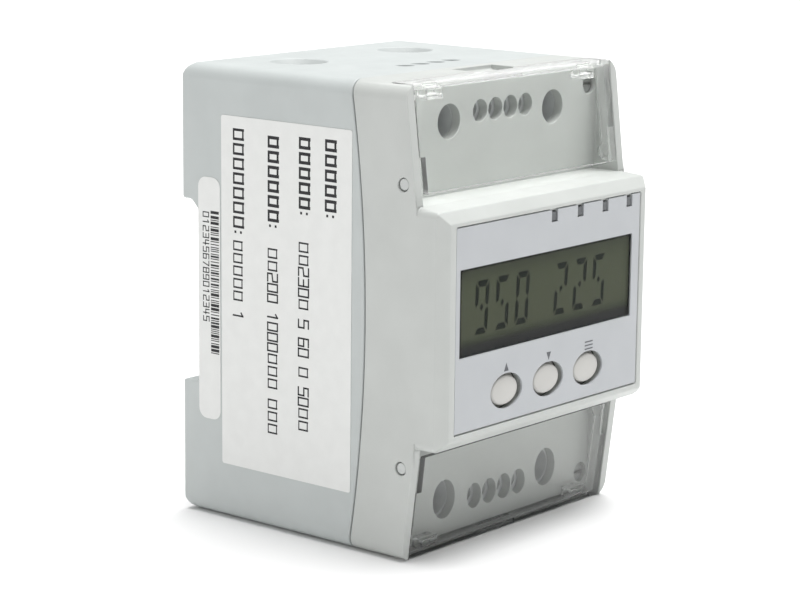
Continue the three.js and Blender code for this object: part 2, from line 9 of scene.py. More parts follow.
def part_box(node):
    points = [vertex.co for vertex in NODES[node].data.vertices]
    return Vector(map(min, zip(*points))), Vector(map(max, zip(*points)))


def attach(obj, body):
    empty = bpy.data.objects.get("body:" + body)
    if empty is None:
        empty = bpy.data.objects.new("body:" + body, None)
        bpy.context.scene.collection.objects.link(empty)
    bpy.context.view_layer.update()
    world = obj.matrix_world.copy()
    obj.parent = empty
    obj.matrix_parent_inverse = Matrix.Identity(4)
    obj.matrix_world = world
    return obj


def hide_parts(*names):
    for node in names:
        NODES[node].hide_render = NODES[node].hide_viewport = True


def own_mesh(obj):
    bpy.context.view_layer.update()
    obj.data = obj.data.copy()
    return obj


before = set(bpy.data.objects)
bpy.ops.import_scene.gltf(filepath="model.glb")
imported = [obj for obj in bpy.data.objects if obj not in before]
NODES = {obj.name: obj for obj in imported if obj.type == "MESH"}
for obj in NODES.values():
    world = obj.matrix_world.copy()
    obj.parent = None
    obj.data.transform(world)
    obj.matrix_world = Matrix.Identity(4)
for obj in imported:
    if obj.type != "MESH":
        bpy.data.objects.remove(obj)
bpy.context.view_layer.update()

# ---------------------------------------------------------------- dimensions
# Millimetres. A point is (x, depth, z): depth runs from the bezel's front face towards the rail.

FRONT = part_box("front_cover")[0].y
HALF_WIDTH = 32.4
DEPTH = 65.5
HEIGHT = 89.0
MIDDLE = HEIGHT / 2
WALL = 2.0
INSIDE = HALF_WIDTH - WALL
EDGE_RADIUS = 3.0
REAR_RADIUS = 2.75
PARTING_DEPTH = 22.6
PARTING_BOW = 3.75
PARTING_GAP = 0.3

NOTCH_LOW = 26.5
NOTCH_HIGH = 62.5
NOTCH_FLOOR = 61.5
GUSSET = 1.7

CHEEK_END = 9.35
CHEEK_INNER = 6.64
BEZEL_LOW = 22.0
BEZEL_HIGH = 67.0
BEZEL_SHOULDER = 2.0
FACE_LOW = 24.0
FACE_HIGH = 64.4
FACE_HALF = 30.6
FRONT_WALL = 2.2
DECK_FACE = 13.0
DECK_BACK = 15.0
DECK_EDGE = 87.5

OVERLAY_HALF = 28.8
OVERLAY_LOW = 25.4
OVERLAY_HIGH = 63.6
OVERLAY_FRONT = 0.08
OVERLAY_BACK = 0.58
WINDOW_X = (-27.6, 26.4)
WINDOW_Z = (39.3, 55.8)
BUTTON_XS = {"up": -13.3, "down": -0.35, "set": 12.5}
BUTTON_Z = 31.1
CAP_X = 4.12
CAP_Z = 2.83
HOLE_X = 4.85
HOLE_Z = 3.35
HOLE_RELIEF = 0.45
LIGHT_XS = (0.75, 9.03, 17.17, 25.2)
LIGHT_HALF = 0.95
LIGHT_Z = (61.25, 63.4)
BOARD_DEPTH = 8.8

COVER_HALF = 30.1
COVER_INNER = 69.0
COVER_THICK = 1.2
RETURN_END = 14.3
FLANGE = 3.4
NOTCH_DEEP = 1.1
TRUNNION_DEPTH = 9.8
TRUNNION_Z = 70.95
TRUNNION_RADIUS = 1.1
TRUNNION_HOLE = 1.3
EAR_RADIUS = 1.6
LUG_X = (21.4, 25.8)
LUG_DEPTH = (9.85, 12.8)
LUG_Z = 85.7

MAIN_XS = (-16.0, 16.0)
MAIN_Z = 80.6
MAIN_ACCESS = 3.3
MAIN_ENTRY = 3.9
MAIN_FUNNEL = 5.7
MAIN_ENTRY_DEPTH = 50.0
SIGNAL_XS = (-6.7, -2.05, 2.6, 7.25)
SIGNAL_Z = 81.8
SIGNAL_ACCESS = 2.15
SIGNAL_ENTRY = 1.4
SIGNAL_FUNNEL = 1.8
SIGNAL_ENTRY_DEPTH = 31.0
CASE_SCREW_X = 28.0
CASE_SCREW_Z = 84.1
LOWER_STRETCH = 1.14    # the lower access holes are a little taller

PANE_X = (-27.4, 26.2)
PANE_Z = (39.5, 55.6)
PANE_DEPTH = (0.2, 0.6)
PANEL_X = (-28.0, 27.0)
PANEL_Z = (38.0, 57.0)
PANEL_DEPTH = (0.95, 2.75)
FIELD_X = (-26.25, 26.5)        # the part of the display that the painted shade frame round it leaves free
FIELD_Z = (38.9, 55.2)

ROUND = 56          # sides of a round outline
SMALL_ROUND = 32    # sides of a pin or its hole
TINY_ROUND = 24     # sides of a screw bore or a stem
QUARTER = 10        # steps of a rounded corner
OVERRUN = 1.0       # how far a cutter runs past the face it opens


# ---------------------------------------------------------------- outlines

def rounded(corners, steps=QUARTER):
    """Outline from corners (a, b, radius)."""
    outline = []
    count = len(corners)
    for i, (a, b, radius) in enumerate(corners):
        corner = Vector((a, b))
        if radius == 0:
            outline.append(corner)
            continue
        before = (Vector(corners[i - 1][:2]) - corner).normalized()
        after = (Vector(corners[(i + 1) % count][:2]) - corner).normalized()
        half = before.angle(after) / 2
        centre = corner + (before + after).normalized() * (radius / math.sin(half))
        start = corner + before * (radius / math.tan(half)) - centre
        end = corner + after * (radius / math.tan(half)) - centre
        sweep = start.angle_signed(end)
        for k in range(steps + 1):
            outline.append(centre + Matrix.Rotation(-sweep * k / steps, 2) @ start)
    return outline


def rectangle(a, b, radius, steps=QUARTER):
    corners = [(a[0], b[0], radius), (a[1], b[0], radius), (a[1], b[1], radius), (a[0], b[1], radius)]
    return rounded(corners, steps)


def oval(a, b, radius_a, radius_b=None, sides=ROUND):
    radius_b = radius_a if radius_b is None else radius_b
    turns = [2 * math.pi * i / sides for i in range(sides)]
    return [Vector((a + radius_a * math.cos(t), b + radius_b * math.sin(t))) for t in turns]


# ---------------------------------------------------------------- solids

# Where an outline's point p lies when it is drawn out to t: along x outlines hold (depth, z),
# along y they hold (z, x) and along z they hold (x, depth).
DRAWN = {
    "x": lambda p, t: (t, p[0], p[1]),
    "y": lambda p, t: (p[1], t, p[0]),
    "z": lambda p, t: (p[0], p[1], t),
}


def to_mesh(bm, name="solid"):
    mesh = bpy.data.meshes.new(name)
    bm.to_mesh(mesh)
    bm.free()
    return mesh


def loft(rings):
    """Closed solid through rings of points, all of the same count."""
    bm = bmesh.new()
    made = [[bm.verts.new(p) for p in ring] for ring in rings]
    bm.faces.new(made[0])
    bm.faces.new(made[-1])
    count = len(made[0])
    for lower, upper in zip(made, made[1:]):
        for i in range(count):
            j = (i + 1) % count
            bm.faces.new((lower[i], lower[j], upper[j], upper[i]))
    bmesh.ops.recalc_face_normals(bm, faces=bm.faces)
    return to_mesh(bm)


def prism(axis, outline, span):
    place = DRAWN[axis]
    return loft([[place(p, span[0]) for p in outline], [place(p, span[1]) for p in outline]])


def block(x, depth, z):
    return prism("z", [(x[0], depth[0]), (x[1], depth[0]), (x[1], depth[1]), (x[0], depth[1])], z)


def rod(x, z, radius, span, sides=ROUND):
    return prism("y", oval(z, x, radius, sides=sides), span)


def around(centre, half):
    return (centre - half, centre + half)


def mirrored(side, a, b):
    """The stretch from a to b on the right (side 1) or its mirror image."""
    return tuple(sorted((side * a, side * b)))


def boolean(base, operation, tools):
    """base with each tool added, cut out or intersected, in turn."""
    scene = bpy.context.scene
    work = bpy.data.objects.new("work", base)
    scene.collection.objects.link(work)
    others = []
    for tool in tools:
        other = bpy.data.objects.new("tool", tool)
        scene.collection.objects.link(other)
        others.append(other)
        modifier = work.modifiers.new("boolean", "BOOLEAN")
        modifier.operation = operation
        modifier.solver = "MANIFOLD"
        modifier.object = other
    depsgraph = bpy.context.evaluated_depsgraph_get()
    made = bpy.data.meshes.new_from_object(work.evaluated_get(depsgraph))
    for o in [work, *others]:
        bpy.data.objects.remove(o)
    return made


def cut(base, *tools):
    return boolean(base, "DIFFERENCE", tools)


def union(base, *tools):
    return boolean(base, "UNION", tools)


def common(base, *tools):
    return boolean(base, "INTERSECT", tools)


def flipped(mesh):
    """The same solid for the other end of the meter."""
    made = mesh.copy()
    made.transform(Matrix.Translation((0, 0, HEIGHT)) @ Matrix.Diagonal((1, 1, -1, 1)))
    made.flip_normals()
    return made


def moved(mesh, x, depth, z):
    made = mesh.copy()
    made.transform(Matrix.Translation((x, depth, z)))
    return made


def joined(meshes):
    """Separate solids as one mesh."""
    bm = bmesh.new()
    for mesh in meshes:
        bm.from_mesh(mesh)
    return to_mesh(bm)


TO_ROW = Matrix.Translation((0, FRONT, 0)) @ Matrix.Diagonal((0.001, 0.001, 0.001, 1))
SHARP = math.radians(28)        # edges sharper than this are rounded
FINE_EDGE = 0.1
WELD = 0.002


def piece(name, mesh, material, body, edge=0.25, segments=2, nodes=(), fine=None):
    """A shown piece: edges rounded to the given width, smooth, riding on its body.

    fine, if given, tells from an edge's two ends whether it is rounded to FINE_EDGE only.
    """
    bm = bmesh.new()
    bm.from_mesh(mesh)
    if edge:
        bmesh.ops.remove_doubles(bm, verts=bm.verts, dist=WELD)
        bmesh.ops.dissolve_degenerate(bm, dist=WELD, edges=bm.edges)
        bmesh.ops.triangulate(bm, faces=bm.faces)
    weight = bm.edges.layers.float.new("bevel_weight_edge")
    for e in bm.edges:
        if not e.is_manifold or e.calc_face_angle() < SHARP:
            continue
        if not edge:
            e.smooth = False
        elif fine is not None and fine(*[v.co for v in e.verts]):
            e[weight] = FINE_EDGE / edge
        else:
            e[weight] = 1
    for face in bm.faces:
        face.smooth = True
    plain = to_mesh(bm, name)
    work = bpy.data.objects.new(name, plain)
    bpy.context.scene.collection.objects.link(work)
    if edge:
        bevel = work.modifiers.new("edges", "BEVEL")
        bevel.width = edge
        bevel.segments = segments
        bevel.limit_method = "WEIGHT"
        bevel.use_clamp_overlap = False
        bevel.loop_slide = False
    work.modifiers.new("normals", "WEIGHTED_NORMAL").keep_sharp = True
    depsgraph = bpy.context.evaluated_depsgraph_get()
    made = bpy.data.meshes.new_from_object(work.evaluated_get(depsgraph))
    work.modifiers.clear()
    work.data = made
    if edge:
        for v in made.vertices:
            v.co.x = min(max(v.co.x, -HALF_WIDTH), HALF_WIDTH)
            v.co.z = min(max(v.co.z, 0), HEIGHT)
    made.transform(TO_ROW)
    made.materials.clear()
    made.materials.append(material)
    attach(work, body)
    if nodes:
        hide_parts(*nodes)
    return work


# ---------------------------------------------------------------- materials

def linear(rgb):
    def channel(value):
        value /= 255
        return value / 12.92 if value <= 0.04045 else ((value + 0.055) / 1.055) ** 2.4
    return (*map(channel, rgb), 1)


class Surface:
    """A Principled material with texture nodes in the object's own space, in metres."""

    def __init__(self, name, **sockets):
        self.material = bpy.data.materials.new(name)
        self.material.use_nodes = True
        self.nodes = self.material.node_tree.nodes
        self.links = self.material.node_tree.links
        self.shader = self.nodes["Principled BSDF"]
        self.space = self.nodes.new("ShaderNodeTexCoord").outputs["Object"]
        for socket, value in sockets.items():
            self.shader.inputs[socket.replace("_", " ")].default_value = value

    def noise(self, size, detail=2.0, stretch=(1, 1, 1)):
        """Noise whose features are about size metres across."""
        source = self.space
        if stretch != (1, 1, 1):
            mapping = self.nodes.new("ShaderNodeMapping")
            mapping.inputs["Scale"].default_value = stretch
            self.links.new(source, mapping.inputs["Vector"])
            source = mapping.outputs["Vector"]
        noise = self.nodes.new("ShaderNodeTexNoise")
        noise.inputs["Scale"].default_value = 1 / size
        noise.inputs["Detail"].default_value = detail
        self.links.new(source, noise.inputs["Vector"])
        return noise.outputs["Fac"]

    def ramp(self, factor, stops):
        """Colours, as sRGB triples, at places along factor."""
        node = self.nodes.new("ShaderNodeValToRGB")
        elements = node.color_ramp.elements
        while len(elements) < len(stops):
            elements.new(0.5)
        for element, (place, rgb) in zip(elements, stops):
            element.position = place
            element.color = linear(rgb)
        self.links.new(factor, node.inputs["Fac"])
        return node.outputs["Color"]

    def span(self, value, source, target):
        node = self.nodes.new("ShaderNodeMapRange")
        names = ("From Min", "From Max", "To Min", "To Max")
        for socket, number in zip(names, (*source, *target)):
            node.inputs[socket].default_value = number
        self.links.new(value, node.inputs["Value"])
        return node.outputs["Result"]

    def off_front(self):
        """How far a face turns from the object's front and back to its sides, from 0 to 1."""
        normal = self.nodes.new("ShaderNodeTexCoord").outputs["Normal"]
        across = self.nodes.new("ShaderNodeVectorMath")
        across.operation = "MULTIPLY"
        across.inputs[1].default_value = (1, 0, 1)
        self.links.new(normal, across.inputs[0])
        length = self.nodes.new("ShaderNodeVectorMath")
        length.operation = "LENGTH"
        self.links.new(across.outputs["Vector"], length.inputs[0])
        return length.outputs["Value"]

    def colour(self, output):
        self.links.new(output, self.shader.inputs["Base Color"])

    def roughness(self, output):
        self.links.new(output, self.shader.inputs["Roughness"])

    def bump(self, *layers):
        """Layers of (height, depth in metres, strength), one over the other."""
        normal = None
        for height, distance, strength in layers:
            node = self.nodes.new("ShaderNodeBump")
            node.inputs["Distance"].default_value = distance
            node.inputs["Strength"].default_value = strength
            self.links.new(height, node.inputs["Height"])
            if normal is not None:
                self.links.new(normal, node.inputs["Normal"])
            normal = node.outputs["Normal"]
        self.links.new(normal, self.shader.inputs["Normal"])


def shade(rgb, change):
    return tuple(max(0, min(255, c + change)) for c in rgb)


NOISE_LOW = 0.35
NOISE_HIGH = 0.65


def moulded(name, rgb, rough, grain=0.00022, relief=0.000012, mottle=2.0, **sockets):
    """Moulded plastic: fine spark-eroded grain, faint flow mottling, uneven gloss."""
    s = Surface(name, **sockets)
    flow = s.noise(0.009, 3)
    s.colour(s.ramp(flow, [(NOISE_LOW, shade(rgb, -mottle)), (NOISE_HIGH, shade(rgb, mottle))]))
    fine = s.noise(grain, 2)
    gloss = s.noise(0.004, 4)
    s.roughness(s.span(gloss, (NOISE_LOW, NOISE_HIGH), (rough - 0.04, rough + 0.05)))
    s.bump((fine, relief, 0.5), (s.noise(0.02, 1), 0.00006, 0.25))
    return s.material


EDGE_ON = (0.5, 0.9)    # turn from the front over which a clear wall grows cloudy


def clear_plastic(name, rgb, ior, rough, cloudy=0):
    """Clear moulding with faint waves and handling marks; walls seen edge-on are cloudier."""
    s = Surface(name, Transmission_Weight=1.0, IOR=ior)
    if cloudy:
        s.links.new(s.span(s.off_front(), EDGE_ON, (1, 1 - cloudy)), s.shader.inputs["Transmission Weight"])
    s.colour(s.ramp(s.noise(0.02, 2), [(NOISE_LOW, shade(rgb, -2)), (NOISE_HIGH, rgb)]))
    s.roughness(s.span(s.noise(0.003, 4), (NOISE_LOW, NOISE_HIGH), (rough * 0.5, rough * 1.5)))
    s.bump((s.noise(0.012, 1), 0.00004, 0.3))
    return s.material


def metal(name, rgb, rough, stretch=(1, 1, 1)):
    """Plated or drawn metal with fine tool marks and faint tarnish."""
    s = Surface(name, Metallic=1.0)
    s.colour(s.ramp(s.noise(0.002, 4), [(NOISE_LOW, shade(rgb, -16)), (NOISE_HIGH, shade(rgb, 6))]))
    s.roughness(s.span(s.noise(0.0008, 3), (NOISE_LOW, NOISE_HIGH), (rough - 0.08, rough + 0.12)))
    s.bump((s.noise(0.0002, 3, stretch), 0.000008, 0.6))
    return s.material


def paper(name, rgb):
    """Self-adhesive label stock: fibrous, faintly uneven, half matt."""
    s = Surface(name, Specular_IOR_Level=0.35)
    s.colour(s.ramp(s.noise(0.003, 4), [(NOISE_LOW, shade(rgb, -2)), (NOISE_HIGH, shade(rgb, 1))]))
    s.roughness(s.span(s.noise(0.001, 3), (NOISE_LOW, NOISE_HIGH), (0.5, 0.65)))
    s.bump((s.noise(0.0003, 4), 0.000006, 0.5), (s.noise(0.015, 1), 0.00005, 0.2))
    return s.material


def ink(name, rgb, rough=0.55, shine=0.3, worn=14):
    """Printed ink, thinner in places."""
    s = Surface(name, Specular_IOR_Level=shine)
    s.colour(s.ramp(s.noise(0.0004, 4), [(NOISE_LOW, rgb), (NOISE_HIGH, shade(rgb, worn))]))
    s.roughness(s.span(s.noise(0.0005, 2), (NOISE_LOW, NOISE_HIGH), (rough - 0.05, rough + 0.1)))
    s.bump((s.noise(0.0001, 2), 0.000003, 0.5))
    return s.material


def circuit_board(name, rgb):
    """Green solder resist over glass cloth, with the weave just showing."""
    s = Surface(name, Coat_Weight=0.3)
    s.colour(s.ramp(s.noise(0.0012, 5), [(0.3, shade(rgb, -12)), (0.62, rgb), (0.7, shade(rgb, 22))]))
    s.roughness(s.span(s.noise(0.002, 3), (NOISE_LOW, NOISE_HIGH), (0.3, 0.45)))
    s.bump((s.noise(0.0003, 2, (1, 1, 3)), 0.00001, 0.5))
    return s.material


def display_glass(name):
    """Reflective liquid crystal display: olive field, with painted shade in its colour: dark along its foot
    where the frame shades it, and darker along its top edge.
    """
    s = Surface(name, Specular_IOR_Level=0.06)
    xyz = s.nodes.new("ShaderNodeSeparateXYZ")
    s.links.new(s.space, xyz.inputs["Vector"])
    low = WINDOW_Z[0] / 1000
    high = WINDOW_Z[1] / 1000
    up = s.span(xyz.outputs["Z"], (low - 0.001, high), (0, 1))
    # painted shade: the olive darkens towards the window's foot and its top edge
    olive_and_painted_shade = [(0, (36, 37, 38)), (0.14, (37, 38, 38)), (0.2, (56, 59, 48)), (0.27, (73, 76, 61)),
             (0.8, (75, 79, 63)), (0.95, (68, 71, 58)), (1.0, (50, 52, 45))]
    s.colour(s.ramp(up, olive_and_painted_shade))
    s.roughness(s.span(s.noise(0.002, 3), (NOISE_LOW, NOISE_HIGH), (0.45, 0.6)))
    s.bump((s.noise(0.0003, 2), 0.000004, 0.4))
    return s.material


REAR_SHELL = moulded("rear_shell", (188, 193, 192), 0.5)
FRONT_SHELL = moulded("front_shell", (191, 194, 191), 0.46)
CLEAR = clear_plastic("clear_cover", (254, 255, 254), 1.3, 0.03, 0.25)
PIN = moulded("cover_pin", (196, 199, 197), 0.3)
PANE = clear_plastic("display_pane", (250, 252, 250), 1.1, 0.05)
FACEPLATE = moulded("faceplate", (182, 185, 188), 0.42, grain=0.00012, relief=0.000005, mottle=1.5)
BUTTON = moulded("button_cap", (194, 193, 189), 0.4, grain=0.0003, relief=0.000006)
DISPLAY = display_glass("display_glass")
SEGMENT = ink("display_segment", (27, 31, 27), 0.6, 0.02, 3)
# painted shade: black ink for a frame on the display's face that stands for the shadow inside the window's
# edges
PAINTED_SHADE_INK = ink("display_painted_shade", (24, 25, 25), 0.6, 0.05, 3)
PRINT = ink("black_print", (34, 34, 36))
GREY_PRINT = ink("grey_print", (92, 94, 98))
LABEL = paper("label_stock", (227, 228, 226))
GUIDE = moulded("light_guide", (84, 87, 90), 0.3, grain=0.0004)
BLACK = moulded("black_plastic", (38, 40, 43), 0.5)
CARRIER = moulded("terminal_carrier", (200, 203, 203), 0.6)
LATCH = moulded("latch_plastic", (58, 61, 64), 0.5)
BOARD = circuit_board("circuit_board", (30, 84, 52))
STEEL = metal("zinc_plated_steel", (178, 180, 178), 0.36)
BRASS = metal("plated_brass", (196, 168, 98), 0.34)
COPPER = metal("copper_bar", (192, 124, 88), 0.36, (4, 4, 1))
CAN = metal("aluminium_can", (176, 180, 182), 0.32, (1, 1, 6))


# ---------------------------------------------------------------- shells

def parting_line(shift, steps=32):
    """Depth and height along the joint between the shells, from the bottom face to the top."""
    line = []
    for i in range(steps + 1):
        z = HEIGHT * i / steps
        bow = 1 - ((z - MIDDLE) / MIDDLE) ** 2
        line.append(Vector((PARTING_DEPTH - PARTING_BOW * bow + shift, z)))
    return line


def long_edges(span):
    return prism("y", rectangle((0, HEIGHT), (-HALF_WIDTH, HALF_WIDTH), EDGE_RADIUS), span)


ACROSS = (-HALF_WIDTH - OVERRUN, HALF_WIDTH + OVERRUN)
BEFORE_JOINT = 10.0     # depth from which the rear shell is cut out of its block
POST_X = 2.7            # half sides of the posts that take the case screws
POST_Z = 3.2
POST_FRONT = 24.5
SCREW_BORE = 1.5
POST_BORE = (24, 42)


def cable_funnel(x, depth, radius, mouth):
    """Cutter for a cable entry in the top wall, wider at its mouth."""
    past = mouth + (mouth - radius) * OVERRUN / WALL
    rings = ((HEIGHT - WALL - OVERRUN, radius), (HEIGHT - WALL, radius), (HEIGHT + OVERRUN, past))
    return loft([[(p[0], p[1], z) for p in oval(x, depth, r)] for z, r in rings])


def rear_housing():
    side = rounded([
        (PARTING_DEPTH, 0, 0),
        (DEPTH, 0, REAR_RADIUS),
        (DEPTH, NOTCH_LOW, 0.6),
        (NOTCH_FLOOR, NOTCH_LOW, 0.5),
        (NOTCH_FLOOR, NOTCH_HIGH - GUSSET, 1.0),
        (NOTCH_FLOOR + GUSSET, NOTCH_HIGH, 1.0),
        (DEPTH, NOTCH_HIGH, 0.6),
        (DEPTH, HEIGHT, REAR_RADIUS),
        (PARTING_DEPTH, HEIGHT, 0),
    ])
    side += list(reversed(parting_line(0)))[1:-1]
    shell = common(long_edges((BEFORE_JOINT, DEPTH)), prism("x", side, ACROSS))
    shell = cut(shell, block((-INSIDE, INSIDE), (BEFORE_JOINT, NOTCH_FLOOR - WALL), (WALL, HEIGHT - WALL)))
    posts = []
    bores = []
    for x in (-CASE_SCREW_X, CASE_SCREW_X):
        for z in (CASE_SCREW_Z, HEIGHT - CASE_SCREW_Z):
            posts.append(block(around(x, POST_X), (POST_FRONT, NOTCH_FLOOR - 0.5), around(z, POST_Z)))
            bores.append(rod(x, z, SCREW_BORE, POST_BORE, sides=TINY_ROUND))
    entries = []
    kinds = (
        (MAIN_XS, MAIN_ENTRY, MAIN_FUNNEL, MAIN_ENTRY_DEPTH),
        (SIGNAL_XS, SIGNAL_ENTRY, SIGNAL_FUNNEL, SIGNAL_ENTRY_DEPTH),
    )
    for xs, radius, mouth, depth in kinds:
        for x in xs:
            funnel = cable_funnel(x, depth, radius, mouth)
            entries += [funnel, flipped(funnel)]
    return cut(union(shell, *posts), *bores, *entries, latch_groove())


LATCH_HALF = 7.0
LATCH_WING = 9.0
LATCH_FRONT = 62.3
LATCH_STEP = 63.5
LATCH_BACK = 64.9
LATCH_FOOT = 0.6
LATCH_NOSE = 29.0
LATCH_WINDOW_HALF = 2.8
LATCH_WINDOW_Z = (5.2, 20.2)
LATCH_SLOT_Z = (1.8, 3.6)       # slot for a screwdriver's blade
LATCH_SLOT_HALF = 3.0
LATCH_SLOT_DEEP = 1.2
GRIP_HALF = 4.5                 # grooves across the nose, for a fingertip
GRIP_DEEP = 0.35
GRIP_ZS = (22, 23, 24)
PEG_Z = (5.8, 8.0)
PEG_HALF = 2.2
PLAY = 0.4


def latch_groove():
    z = (-OVERRUN, NOTCH_LOW + OVERRUN)
    wide = block(around(0, LATCH_WING + PLAY), (LATCH_FRONT - PLAY, LATCH_STEP + PLAY), z)
    narrow = block(around(0, LATCH_HALF + PLAY), (LATCH_STEP, DEPTH + OVERRUN), z)
    peg = block(around(0, PEG_HALF), (LATCH_FRONT - OVERRUN, LATCH_BACK - PLAY), PEG_Z)
    return cut(union(wide, narrow), peg)


def rail_latch():
    nose = [
        (LATCH_FRONT + 0.7, NOTCH_LOW - 2),
        (LATCH_BACK, NOTCH_LOW - 2),
        (LATCH_BACK, NOTCH_LOW + 0.6),
        (LATCH_FRONT + 1.4, LATCH_NOSE),
        (LATCH_FRONT + 0.7, LATCH_NOSE),
    ]
    body = (LATCH_FOOT, NOTCH_LOW - 1)
    whole = union(
        block(around(0, LATCH_HALF), (LATCH_FRONT, LATCH_BACK), body),
        block(around(0, LATCH_WING), (LATCH_FRONT, LATCH_STEP), body),
        prism("x", nose, around(0, LATCH_HALF)),
    )
    past = LATCH_BACK + OVERRUN
    grip = [block(around(0, GRIP_HALF), (LATCH_BACK - GRIP_DEEP, past), around(z, 0.3)) for z in GRIP_ZS]
    window = block(around(0, LATCH_WINDOW_HALF), (LATCH_FRONT - OVERRUN, past), LATCH_WINDOW_Z)
    slot = block(around(0, LATCH_SLOT_HALF), (LATCH_BACK - LATCH_SLOT_DEEP, past), LATCH_SLOT_Z)
    return cut(whole, window, slot, *grip)


SCOOP_HALF = 6.2        # finger scoop behind a cover's outer edge
SCOOP_FRONT = 14.4
SCOOP_BACK = 20.0
SCOOP_FLOOR = 1.2


def cover_bay():
    """Space of one terminal cover between the cheeks, with the return's recess and the scoop."""
    top = HEIGHT + OVERRUN
    scoop = rounded([
        (SCOOP_FRONT, top, 0),
        (SCOOP_FRONT, HEIGHT - SCOOP_FLOOR, 0),
        (SCOOP_BACK, HEIGHT - SCOOP_FLOOR + 0.3, 0.5),
        (SCOOP_BACK + 0.3, top, 0),
    ])
    return union(
        block((-INSIDE, INSIDE), (-OVERRUN, DECK_FACE), (BEZEL_HIGH, top)),
        block((-INSIDE, INSIDE), (DECK_FACE - OVERRUN, RETURN_END + 0.3), (DECK_EDGE, top)),
        prism("x", scoop, around(0, SCOOP_HALF)),
    )


def deck_holes(stretch):
    through = (DECK_FACE - OVERRUN, DECK_BACK + OVERRUN)
    holes = []
    for xs, z, radius in ((MAIN_XS, MAIN_Z, MAIN_ACCESS), (SIGNAL_XS, SIGNAL_Z, SIGNAL_ACCESS)):
        for x in xs:
            holes.append(prism("y", oval(z, x, radius * stretch, radius), through))
    return holes


def bezel_corner(x, z, radius):
    """Cutter that rounds one corner of the bezel, seen from the front."""
    side = math.copysign(1, x)
    level = math.copysign(1, z - MIDDLE)
    outline = [(z + level * OVERRUN, x + side * OVERRUN), (z + level * OVERRUN, x - side * radius)]
    for k in range(QUARTER + 1):
        turn = math.pi / 2 * k / QUARTER
        across = x - side * radius * (1 - math.sin(turn))
        outline.append((z - level * radius * (1 - math.cos(turn)), across))
    outline.append((z - level * radius, x + side * OVERRUN))
    return prism("y", outline, (-OVERRUN, CHEEK_INNER - 0.05))


BEZEL_CORNER = 1.6
BEZEL_INSIDE_HALF = 29.0
BEZEL_INSIDE_Z = (24, 65)
BEZEL_INSIDE_BACK = 6.0
BOSS_X = 2.6            # half sides of the bosses that take the heads of the case screws
BOSS_Z = 3.0
BOSS_BACK = 17.5
BOSS_POCKET = 2.0       # radius of the screw head's pocket
BOSS_POCKET_END = 15.5
RECESS_X = (-28.86, 29.1)       # the faceplate's recess, a narrow gap wider than the faceplate
RECESS_Z = (25.08, 63.82)
DISPLAY_OPENING_X = (-28.2, 27.2)
DISPLAY_OPENING_Z = (37.8, 57.2)


def front_cover():
    joint = PARTING_DEPTH - PARTING_GAP
    outline = rounded([
        (joint, 0, 0),
        (CHEEK_END, 0, 0.5),
        (CHEEK_INNER, BEZEL_LOW, 0.4),
        (BEZEL_SHOULDER + 0.5, BEZEL_LOW, 0.8),
        (0, FACE_LOW, 0.8),
        (0, FACE_HIGH, 0.8),
        (BEZEL_SHOULDER, BEZEL_HIGH - 0.4, 0.8),
        (CHEEK_INNER, BEZEL_HIGH, 0.4),
        (CHEEK_END, HEIGHT, 0.5),
        (joint, HEIGHT, 0),
    ], 6)
    outline += list(reversed(parting_line(-PARTING_GAP)))[1:-1]
    cover = common(long_edges((-OVERRUN, PARTING_DEPTH)), prism("x", outline, ACROSS))

    slope = (HALF_WIDTH - FACE_HALF) / BEZEL_SHOULDER
    wedges = []
    for side in (-1, 1):
        wedge = [
            (side * (FACE_HALF - slope * OVERRUN), -OVERRUN),
            (side * (HALF_WIDTH + OVERRUN), -OVERRUN),
            (side * (HALF_WIDTH + OVERRUN), BEZEL_SHOULDER + OVERRUN / slope),
        ]
        wedges.append(prism("z", wedge, (0, HEIGHT)))
    corners = []
    for x in (-HALF_WIDTH, HALF_WIDTH):
        for z in (BEZEL_LOW, BEZEL_HIGH):
            corners.append(bezel_corner(x, z, BEZEL_CORNER))
    cover = cut(cover, *wedges, *corners)

    cover = cut(
        cover,
        block(around(0, BEZEL_INSIDE_HALF), (FRONT_WALL, BEZEL_INSIDE_BACK + OVERRUN), BEZEL_INSIDE_Z),
        block((-INSIDE, INSIDE), (BEZEL_INSIDE_BACK, PARTING_DEPTH), BEZEL_INSIDE_Z),
        block((-INSIDE, INSIDE), (DECK_BACK, PARTING_DEPTH + OVERRUN), (WALL, HEIGHT - WALL)),
        cover_bay(),
        flipped(cover_bay()),
    )
    bosses = []
    bores = []
    for x in (-CASE_SCREW_X, CASE_SCREW_X):
        for z in (CASE_SCREW_Z, HEIGHT - CASE_SCREW_Z):
            bosses.append(block(around(x, BOSS_X), (DECK_BACK - OVERRUN, BOSS_BACK), around(z, BOSS_Z)))
            bores.append(rod(x, z, BOSS_POCKET, (DECK_FACE - OVERRUN, BOSS_POCKET_END)))
            bores.append(rod(x, z, SCREW_BORE, (DECK_BACK, BOSS_BACK + 0.5)))
    cover = cut(union(cover, *bosses), *bores)
    cover = cut(cover, *deck_holes(1), *map(flipped, deck_holes(LOWER_STRETCH)))
    for z in (TRUNNION_Z, HEIGHT - TRUNNION_Z):
        cover = cut(cover, prism("x", oval(TRUNNION_DEPTH, z, TRUNNION_HOLE, sides=SMALL_ROUND), ACROSS))

    through = (-OVERRUN, FRONT_WALL + OVERRUN)
    behind = (0, FRONT_WALL + OVERRUN)
    recess = rectangle(RECESS_Z, RECESS_X, 0.3, 4)
    openings = [
        prism("y", recess, (-OVERRUN, OVERLAY_BACK + 0.05)),
        block(DISPLAY_OPENING_X, behind, DISPLAY_OPENING_Z),
    ]
    for x in BUTTON_XS.values():
        openings.append(prism("y", oval(BUTTON_Z, x, HOLE_Z + HOLE_RELIEF, HOLE_X + HOLE_RELIEF), through))
    openings += [block(around(x, LIGHT_HALF), behind, LIGHT_Z) for x in LIGHT_XS]
    return cut(cover, *openings)


# ---------------------------------------------------------------- terminal covers

